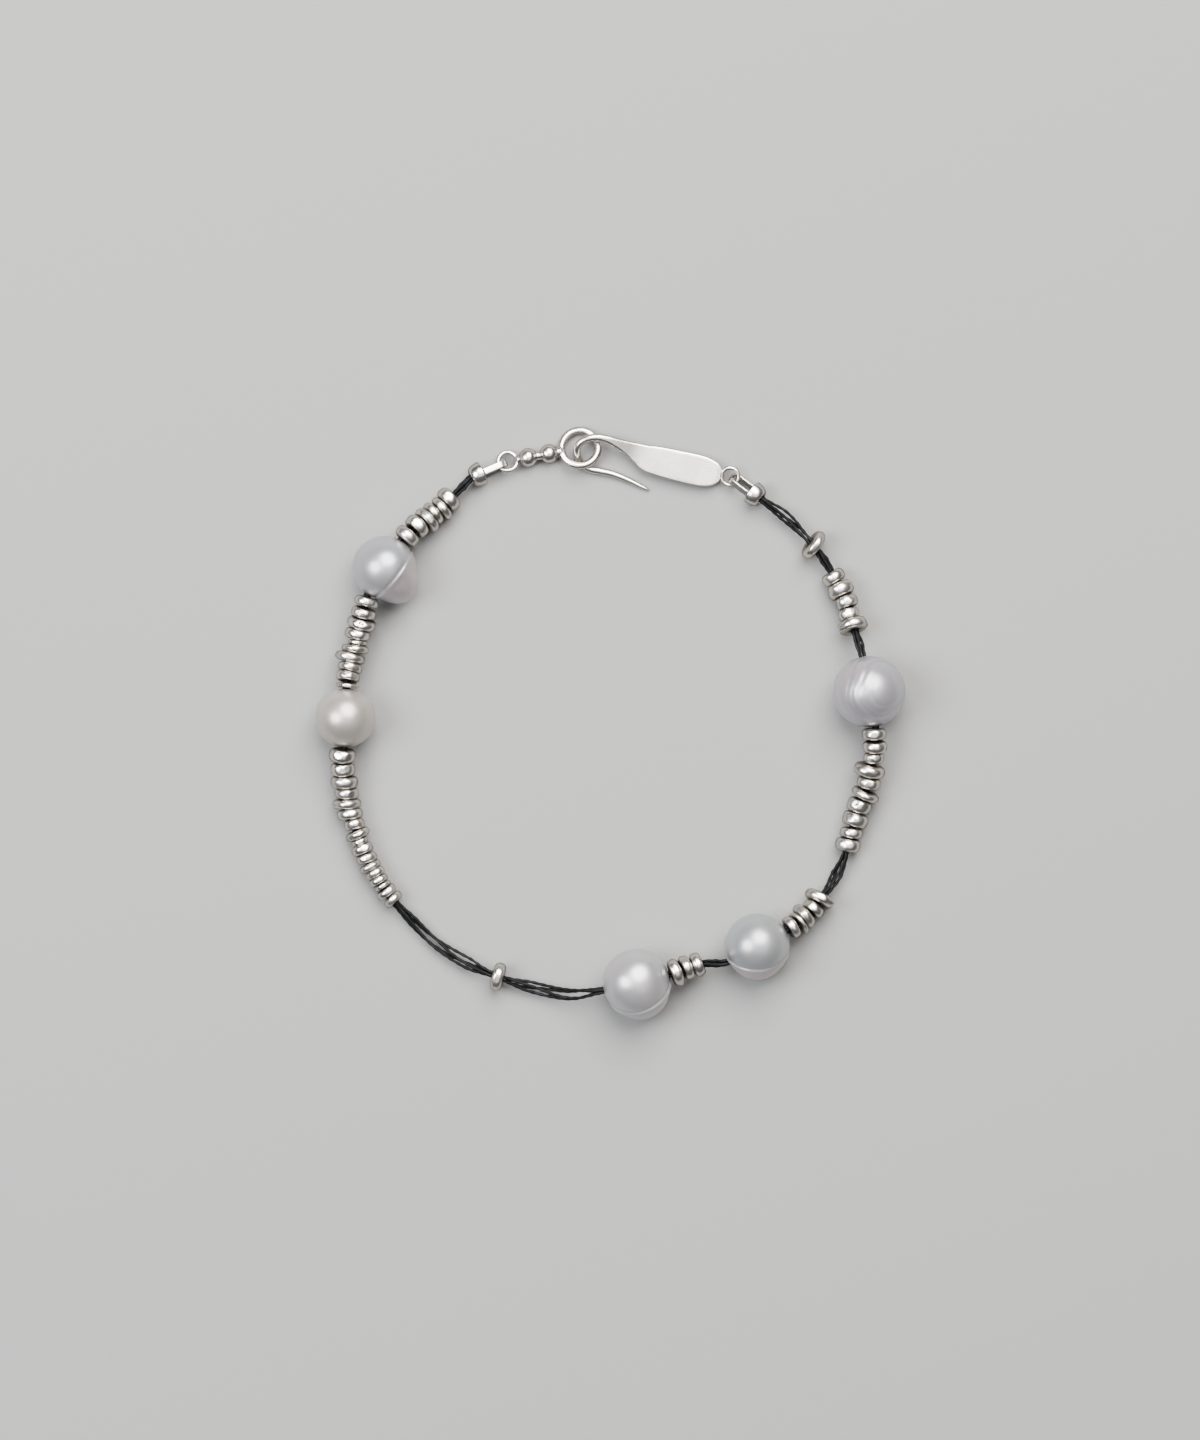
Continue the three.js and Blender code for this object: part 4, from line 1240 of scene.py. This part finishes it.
class BRACELET_OT_spacers(bpy.types.Operator):
    """Make the hammered silver spacer beads, in rows between the pearls"""

    bl_idname = "bracelet.spacers"
    bl_label = "Spacer beads"
    bl_options = {"REGISTER", "UNDO"}

    def execute(self, context):
        sizes = in_millimetres(context.scene.bracelet_sizes)
        finish = context.scene.bracelet_finish
        shift = frame_shift(sizes)
        route = Route(sizes)
        silver = silver_material("worn_silver", finish, 0.24, 0.42, 900.0, 0.03)
        seed = 100
        for row in BEAD_ROWS:
            shells = []
            stations = row_stations(row, route, sizes)
            for number, (bead, station) in enumerate(zip(row.beads, stations)):
                knobs = [knob[2:] for knob in KNOBS if knob[:2] == (row.name, number)]
                drawn = drawn_station(station, number, row, sizes)
                shells.append(bead_shell(bead, drawn, seed, knobs, route, sizes))
                seed += 1
            if row.fused or len(shells) == 1:
                bodies = {row.name: shells}
            else:
                bodies = {f"{row.name}_{i + 1}": [shell] for i, shell in enumerate(shells)}
            for name, body in bodies.items():
                mesh = new_mesh(name, *joined([(points, faces) for points, faces, _ in body]))
                recess = np.concatenate([recess for _, _, recess in body])
                # Tarnish with painted shade from the profile, and painted shade on faces that turn
                # sideways or down.
                mask(mesh, "recess", np.maximum(recess, painted_side_shade(mesh_normals(mesh), 0.8)))
                scaled_to_frame(mesh, shift)
                finished_piece(mesh, silver, [name])
        return {"FINISHED"}


# Cord

STRANDS = 4
STRAND_SIDES = 10
# Share of the cord's diameter that is a strand's radius.
STRAND_RADIUS = 0.18
# Lengths along the cord in millimetres: between a strand's rings, over which strands
# come fully loose, of one turn of the cord, and of one turn of a strand's two plies.
STRAND_STEP = 0.16
LOOSENING = 3.2
CORD_TURN = 36.0
PLY_TURN = 0.95


def looseness(distances, route):
    """How far the strands stand apart, from 0 in a bead to 1 in a long bare stretch."""
    loose = np.zeros(len(distances))
    for run, start, end in BARE_STRETCHES:
        low = route.distance(run, start)
        high = route.distance(run, end)
        inside = np.minimum(distances - low, high - distances)
        loose = np.maximum(loose, np.clip(inside / LOOSENING, 0, 1))
    return loose * loose * (3 - 2 * loose)


def strand_shell(number, route, sizes):
    """One waxed strand, twisted from two plies and laid round its neighbours."""
    count = int(route.length / STRAND_STEP)
    distances = np.linspace(0, route.length, count)
    centres, directions = route.at(distances)
    left = np.cross(UP, directions)
    left /= np.linalg.norm(left, axis=1)[:, None]
    over = np.cross(directions, left)
    loose = looseness(distances, route)
    radius = sizes.cord * STRAND_RADIUS
    chance = np.random.default_rng(40 + number)
    wander = np.zeros(count)
    for _ in range(5):
        pitch = chance.uniform(6, 22)
        wander += np.sin(distances / pitch * 2 * math.pi + chance.uniform(0, 6.3)) * 0.3
    turn = (number / STRANDS + distances / CORD_TURN) * 2 * math.pi + wander * loose * 0.35
    spread = radius * 1.55 + loose * (0.11 + 0.07 * np.sin(distances / 5.1 + number * 2.1))
    flat = 1 + 0.4 * loose
    aside = left * (spread * flat * np.cos(turn))[:, None]
    above = over * (spread * np.sin(turn) / flat)[:, None]
    middle = centres + aside + above
    angles = np.linspace(0, 2 * math.pi, STRAND_SIDES, endpoint=False)
    ply = distances / PLY_TURN * 2 * math.pi
    points = []
    for i in range(count):
        swell = radius * (1 + 0.13 * np.cos(2 * (angles - ply[i] / 2)))
        sideways = np.outer(np.cos(angles) * swell, left[i])
        upwards = np.outer(np.sin(angles) * swell, over[i])
        points.append(middle[i] + (sideways + upwards))
    return np.vstack(points), tube_faces(count, STRAND_SIDES)


class BRACELET_OT_cord(bpy.types.Operator):
    """Make the cord of four waxed strands that splay where no bead holds them"""

    bl_idname = "bracelet.cord"
    bl_label = "Waxed cord"
    bl_options = {"REGISTER", "UNDO"}

    def execute(self, context):
        sizes = in_millimetres(context.scene.bracelet_sizes)
        route = Route(sizes)
        shells = [strand_shell(number, route, sizes) for number in range(STRANDS)]
        mesh = new_mesh("cord", *joined(shells))
        scaled_to_frame(mesh, frame_shift(sizes))
        wax = waxed_cord_material(context.scene.bracelet_finish)
        finished_piece(mesh, wax, ["cord"])
        return {"FINISHED"}


# Clasp

# Fineness of the remeshed clasp ring and cord ends, and the depth of metal that filing
# and polishing take off the clasp, in millimetres.
RING_GRAIN = 0.065
CORD_END_GRAIN = 0.055
FILED_OFF = 0.025


def loop_shell(outer, wire, centre, along, left, over, around=96, sides=24):
    """A wire loop in the plane of along and left."""
    turns = np.linspace(0, 2 * math.pi, around, endpoint=False)
    angles = np.linspace(0, 2 * math.pi, sides, endpoint=False)
    t, a = np.meshgrid(turns, angles, indexing="ij")
    reach = (outer - wire) / 2 + np.cos(a) * wire / 2
    points = np.stack((reach * np.cos(t), reach * np.sin(t), np.sin(a) * wire / 2), axis=-1)
    in_place = placed(points.reshape(-1, 3), centre, along, left, over)
    return in_place, tube_faces(around, sides, closed=True)


def lathe_shell(profile, origin, along, left, over, sides=48):
    """A solid turned about along. profile: distance along and radius, from axis to axis."""
    angles = np.linspace(0, 2 * math.pi, sides, endpoint=False)
    points = [
        (distance, r * math.cos(a), r * math.sin(a)) for distance, r in profile for a in angles
    ]
    in_place = placed(np.array(points), origin, along, left, over)
    return in_place, tube_faces(len(profile), sides)


def ball_profile(distance, radius, squash=0.97):
    """Profile of a slightly flattened ball whose middle lies at a distance."""
    angles = np.radians(np.linspace(4, 176, 33))
    return [
        (distance - math.cos(a) * radius * squash, math.sin(a) * radius) for a in angles
    ]


def rounded_section(wide, thick, count=40):
    """Points round a bar's section: a circle for a wire, a soft-edged flat for a sheet."""
    w, t = wide / 2, thick / 2
    flat = min(1.0, max(0.0, (w / t - 1) / 2))
    corner = min(w, t) * (1 - 0.42 * flat)
    gap = 6 * (1 - flat)
    face = 0.85 * (w - corner) + corner * math.sin(math.radians(gap / 2))
    points = []
    per_corner = count // 4
    for quarter, (x, y) in enumerate(((1, 1), (-1, 1), (-1, -1), (1, -1))):
        if quarter % 2:
            points += [np.array((-x * face, y * t)), np.array((x * face, y * t))]
        centre = np.array((x * (w - corner), y * (t - corner)))
        for angle in np.radians(np.linspace(gap, 90 - gap, per_corner) + 90 * quarter):
            points.append(centre + corner * np.array((math.cos(angle), math.sin(angle))))
    return np.array(points)


def loft_shell(centres, widths, thicknesses):
    """A bar along the centres whose section changes from place to place."""
    last = len(centres) - 1
    points = []
    for i, centre in enumerate(centres):
        step = centres[min(i + 1, last)] - centres[max(i - 1, 0)]
        _, left, over = level_frame(step)
        section = rounded_section(widths[i], thicknesses[i])
        points.append(centre + np.outer(section[:, 0], -left) + np.outer(section[:, 1], over))
    return np.vstack(points), tube_faces(len(centres), len(points[0]))


def bend_at_points(mesh, points, normals):
    """Mean bend of a mesh at its points, over nothing in hollows and below it on edges."""
    ends = np.empty(len(mesh.edges) * 2, dtype=np.int32)
    mesh.edges.foreach_get("vertices", ends)
    ends = ends.reshape(-1, 2)
    step = points[ends[:, 1]] - points[ends[:, 0]]
    bend = np.einsum("ij,ij->i", normals[ends[:, 0]] - normals[ends[:, 1]], step)
    bend /= np.maximum(np.einsum("ij,ij->i", step, step), 1e-9)
    total = np.zeros(len(points))
    count = np.zeros(len(points))
    for side in range(2):
        np.add.at(total, ends[:, side], bend)
        np.add.at(count, ends[:, side], 1)
    return total / np.maximum(count, 1)


def polished(mesh, seed, soft, fine, dark, dull):
    """Gives a clasp part the small unevenness of handwork, and a mask of where its colour is
    darkened: tarnish with painted shade in its hollows, painted shade on its sides and, less so, a
    darkening of its flats that is partly worn satin and partly painted shade, while its edges stay
    bright."""
    points = mesh_points(mesh)
    uneven = unevenness(points, 2.2, seed) * soft + unevenness(points, 0.8, seed + 1) * fine
    push_out(mesh, uneven - FILED_OFF)
    normals = mesh_normals(mesh)
    bend = bend_at_points(mesh, points, normals)
    flat = np.clip(1 - np.abs(bend) * 0.6, 0, 1) * dull
    hollow = np.clip(bend * 0.45 - 0.1, 0, 1)
    # Tarnish with painted shade in hollows, the flats' partly painted darkening, and painted shade
    # on the sides.
    mask(mesh, "recess", np.maximum(np.maximum(hollow, flat), painted_side_shade(normals, dark)))


class BRACELET_OT_ring(bpy.types.Operator):
    """Make the ring with its two soldered balls and the small loop behind them"""

    bl_idname = "bracelet.ring"
    bl_label = "Clasp ring"
    bl_options = {"REGISTER", "UNDO"}

    def execute(self, context):
        sizes = in_millimetres(context.scene.bracelet_sizes)
        centre, along, left, over = ring_frame(sizes)
        near, far, loop = ring_stations(sizes)
        back = (centre, -along, -left, over)
        collar = sizes.collar / 2
        rod = [
            ((sizes.ring - sizes.wire) / 2, collar),
            (near, collar * 0.86),
            (far, collar * 0.86),
            (loop - (sizes.small_loop - sizes.small_wire) / 2, collar * 0.8),
        ]
        shells = [
            loop_shell(sizes.ring, sizes.wire, centre, along, left, over),
            lathe_shell(rod, *back),
            lathe_shell(ball_profile(near, sizes.ball / 2), *back),
            lathe_shell(ball_profile(far, sizes.ball / 2), *back),
            loop_shell(sizes.small_loop, sizes.small_wire, centre - along * loop, along, left, over),
        ]
        mesh = soldered("clasp_ring", shells, RING_GRAIN, 5)
        polished(mesh, 21, 0.006, 0.003, 0.8, 0.1)
        scaled_to_frame(mesh, frame_shift(sizes))
        silver = clasp_silver(context.scene.bracelet_finish)
        finished_piece(mesh, silver, ["clasp_ring"])
        return {"FINISHED"}


class BRACELET_OT_hook(bpy.types.Operator):
    """Make the hook: its tapered tail, its curl through the ring, the bare paddle and
    the end loop"""

    bl_idname = "bracelet.hook"
    bl_label = "Clasp hook"
    bl_options = {"REGISTER", "UNDO"}

    def execute(self, context):
        sizes = in_millimetres(context.scene.bracelet_sizes)
        rows = curve_through(HOOK_SECTIONS, np.linspace(0, 1, 220))
        centres = np.array([hook_place(x, y, height, sizes) for x, y, height, _, _ in rows])
        shells = [
            loft_shell(centres, rows[:, 3] * sizes.paddle, rows[:, 4] * sizes.wire),
            loop_shell(sizes.end_loop, sizes.end_wire, *end_loop_frame(sizes)),
        ]
        mesh = welded("clasp_hook", shells)
        polished(mesh, 31, 0.006, 0.002, 0.7, 0.42)
        scaled_to_frame(mesh, frame_shift(sizes))
        silver = clasp_silver(context.scene.bracelet_finish)
        finished_piece(mesh, silver, ["clasp_hook"])
        return {"FINISHED"}


def clasp_silver(finish):
    name = "satin_silver"
    if name in bpy.data.materials:
        return bpy.data.materials[name]
    return silver_material(name, finish, 0.22, 0.37, 420.0, 0.01)


def cap_shell(end, sizes):
    """Half-round cap with a rolled rim and a hole for the cord."""
    origin, along, left, over = end
    bore = sizes.cord / 2 + 0.14
    radius = sizes.cap / 2
    reach = sizes.bail_reach
    floor = reach + sizes.cap_depth - sizes.cap_bore
    rim = reach + 0.24
    profile = [(reach, 0.0), (reach, radius * 0.5), (reach, radius - 0.1)]
    profile += [(reach + 0.03, radius - 0.03), (reach + 0.12, radius), (rim, radius - 0.02)]
    for angle in np.radians(np.linspace(6, 86, 14)):
        r = bore + 0.08 + (radius - bore - 0.1) * math.cos(angle)
        profile.append((rim + (sizes.cap_depth - 0.24) * math.sin(angle), r))
    profile += [(reach + sizes.cap_depth - 0.04, bore + 0.02), (floor + 0.2, bore)]
    profile += [(floor, bore * 0.6), (floor, 0.0)]
    return lathe_shell(profile, origin, along, left, over)


def bail_shell(end, wire, waves, sizes):
    """Flat strap bent round the wire that it holds."""
    origin, along, left, over = end
    inner = sizes.bail_spread - sizes.bail / 2
    bend = inner - wire / 2 - sizes.bail_play
    reach = sizes.bail_reach + sizes.solder
    path = [(x, sizes.bail_spread) for x in np.linspace(reach, bend, 22)]
    for angle in np.linspace(90, 270, 34)[1:-1]:
        turn = math.radians(angle)
        path.append((bend + math.cos(turn) * sizes.bail_spread, math.sin(turn) * sizes.bail_spread))
    path += [(x, -sizes.bail_spread) for x in np.linspace(bend, reach, 22)]
    path = np.array(path)
    steps = np.gradient(path, axis=0)
    steps /= np.linalg.norm(steps, axis=1)[:, None]
    points = []
    for i, (place, step) in enumerate(zip(path, steps)):
        width = sizes.bail_width * (1 + waves * math.sin(i * 0.75))
        section = rounded_section(width, sizes.bail, 24)
        middle = np.array((place[0], 0, place[1]))
        points += [middle + np.array((step[1] * t, w, -step[0] * t)) for w, t in section]
    in_place = placed(np.array(points), origin, along, left, over)
    return in_place, tube_faces(len(path), len(section))


class BRACELET_OT_cord_ends(bpy.types.Operator):
    """Make the two cord ends, each a strap bail soldered to a half-round cap"""

    bl_idname = "bracelet.cord_ends"
    bl_label = "Cord ends"
    bl_options = {"REGISTER", "UNDO"}

    def execute(self, context):
        sizes = in_millimetres(context.scene.bracelet_sizes)
        silver = clasp_silver(context.scene.bracelet_finish)
        ends = {
            "cord_end_left": (left_end_frame(sizes), sizes.small_wire, 0.0, 51),
            "cord_end_right": (right_end_frame(sizes), sizes.end_wire, 0.05, 61),
        }
        for name, (end, wire, waves, seed) in ends.items():
            shells = [cap_shell(end, sizes), bail_shell(end, wire, waves, sizes)]
            mesh = soldered(name, shells, CORD_END_GRAIN, 3)
            polished(mesh, seed, 0.012, 0.006, 0.95, 0.15)
            scaled_to_frame(mesh, frame_shift(sizes))
            finished_piece(mesh, silver, [name])
        return {"FINISHED"}


# Stage

# Middle of the picture on the floor, in millimetres.
PICTURE_MIDDLE = (-1.05, 0.3)
# Height of the plane that the picture's scale holds for, and half the floor's width, in
# metres.
PICTURE_PLANE = 0.002
FLOOR_HALF = 1.5
ROOM_TINT = (0.86, 0.88, 0.92, 1)
ROOM_LIGHT = 0.12
# Soft round lights over the middle: place and width in metres, and tint.
LIGHTS = {
    "key": ((0.11, 0.41, 0.63), 0.7, (1, 0.985, 0.96)),
    "fill": ((-0.41, 0.03, 0.56), 0.42, (0.95, 0.97, 1)),
    "top": ((0.12, 0.12, 1.05), 1.3, (1, 0.99, 0.98)),
}


def soft_light(name, place, width, tint, power):
    """A round area light that points at the middle of the bracelet."""
    data = bpy.data.lights.new(name, "AREA")
    data.shape = "DISK"
    data.size = width
    data.energy = power
    data.color = tint
    light = bpy.data.objects.new(name, data)
    light.location = place
    light.rotation_euler = (-Vector(place)).to_track_quat("-Z", "Y").to_euler()
    STAGE.objects.link(light)


class BRACELET_OT_stage(bpy.types.Operator):
    """Set the pale floor, the soft lights and the camera straight above"""

    bl_idname = "bracelet.stage"
    bl_label = "Floor, light and camera"
    bl_options = {"REGISTER", "UNDO"}

    def execute(self, context):
        settings = context.scene.bracelet_stage
        signs = ((-1, -1), (1, -1), (1, 1), (-1, 1))
        corners = [(x * FLOOR_HALF, y * FLOOR_HALF, settings.floor_height) for x, y in signs]
        mesh = bpy.data.meshes.new("floor")
        mesh.from_pydata(corners, [], [(0, 1, 2, 3)])
        material, _, shader = new_material("pale_floor")
        shader.inputs["Base Color"].default_value = tuple(settings.floor_colour)
        shader.inputs["Roughness"].default_value = 0.65
        mesh.materials.append(material)
        floor = bpy.data.objects.new("floor", mesh)
        STAGE.objects.link(floor)

        world = bpy.data.worlds.new("studio")
        world.use_nodes = True
        background = world.node_tree.nodes["Background"]
        background.inputs["Color"].default_value = ROOM_TINT
        background.inputs["Strength"].default_value = ROOM_LIGHT
        context.scene.world = world

        for name, (place, width, tint) in LIGHTS.items():
            soft_light(name, place, width, tint, getattr(settings, name + "_power"))

        camera_data = bpy.data.cameras.new("camera")
        distance = settings.camera_distance
        camera_data.lens = camera_data.sensor_width * distance / settings.view_height
        camera_data.clip_start = 0.01
        camera_data.clip_end = 10
        camera = bpy.data.objects.new("camera", camera_data)
        x, y = PICTURE_MIDDLE
        camera.location = (x * MM, y * MM, distance + PICTURE_PLANE)
        STAGE.objects.link(camera)
        context.scene.camera = camera
        context.scene.view_settings.look = "AgX - Medium High Contrast"
        return {"FINISHED"}


class BRACELET_PT_panel(bpy.types.Panel):
    """Lists the steps that build the bracelet, and its main sizes"""

    bl_label = "Pearl Bracelet"
    bl_idname = "BRACELET_PT_panel"
    bl_space_type = "VIEW_3D"
    bl_region_type = "UI"
    bl_category = "Bracelet"

    def draw(self, context):
        layout = self.layout
        for operator in OPERATORS:
            layout.operator(operator.bl_idname)
        for group in ("bracelet_sizes", "bracelet_finish", "bracelet_stage"):
            box = layout.box()
            settings = getattr(context.scene, group)
            for name in settings.__annotations__:
                box.prop(settings, name)


OPERATORS = (
    BRACELET_OT_cord,
    BRACELET_OT_pearls,
    BRACELET_OT_spacers,
    BRACELET_OT_ring,
    BRACELET_OT_hook,
    BRACELET_OT_cord_ends,
    BRACELET_OT_stage,
)
SETTINGS = {
    "bracelet_sizes": BraceletSizes,
    "bracelet_finish": BraceletFinish,
    "bracelet_stage": BraceletStage,
}


def register():
    for group in SETTINGS.values():
        bpy.utils.register_class(group)
    for name, group in SETTINGS.items():
        setattr(bpy.types.Scene, name, PointerProperty(type=group))
    for operator in OPERATORS:
        bpy.utils.register_class(operator)
    bpy.utils.register_class(BRACELET_PT_panel)


def unregister():
    bpy.utils.unregister_class(BRACELET_PT_panel)
    for operator in reversed(OPERATORS):
        bpy.utils.unregister_class(operator)
    for name, group in SETTINGS.items():
        delattr(bpy.types.Scene, name)
        bpy.utils.unregister_class(group)


def main():
    register()
    bpy.context.scene.collection.children.link(PIECES)
    bpy.context.scene.collection.children.link(STAGE)
    bpy.ops.bracelet.cord()
    bpy.ops.bracelet.pearls()
    bpy.ops.bracelet.spacers()
    bpy.ops.bracelet.ring()
    bpy.ops.bracelet.hook()
    bpy.ops.bracelet.cord_ends()
    bpy.ops.bracelet.stage()


if __name__ == "__main__":
    main()
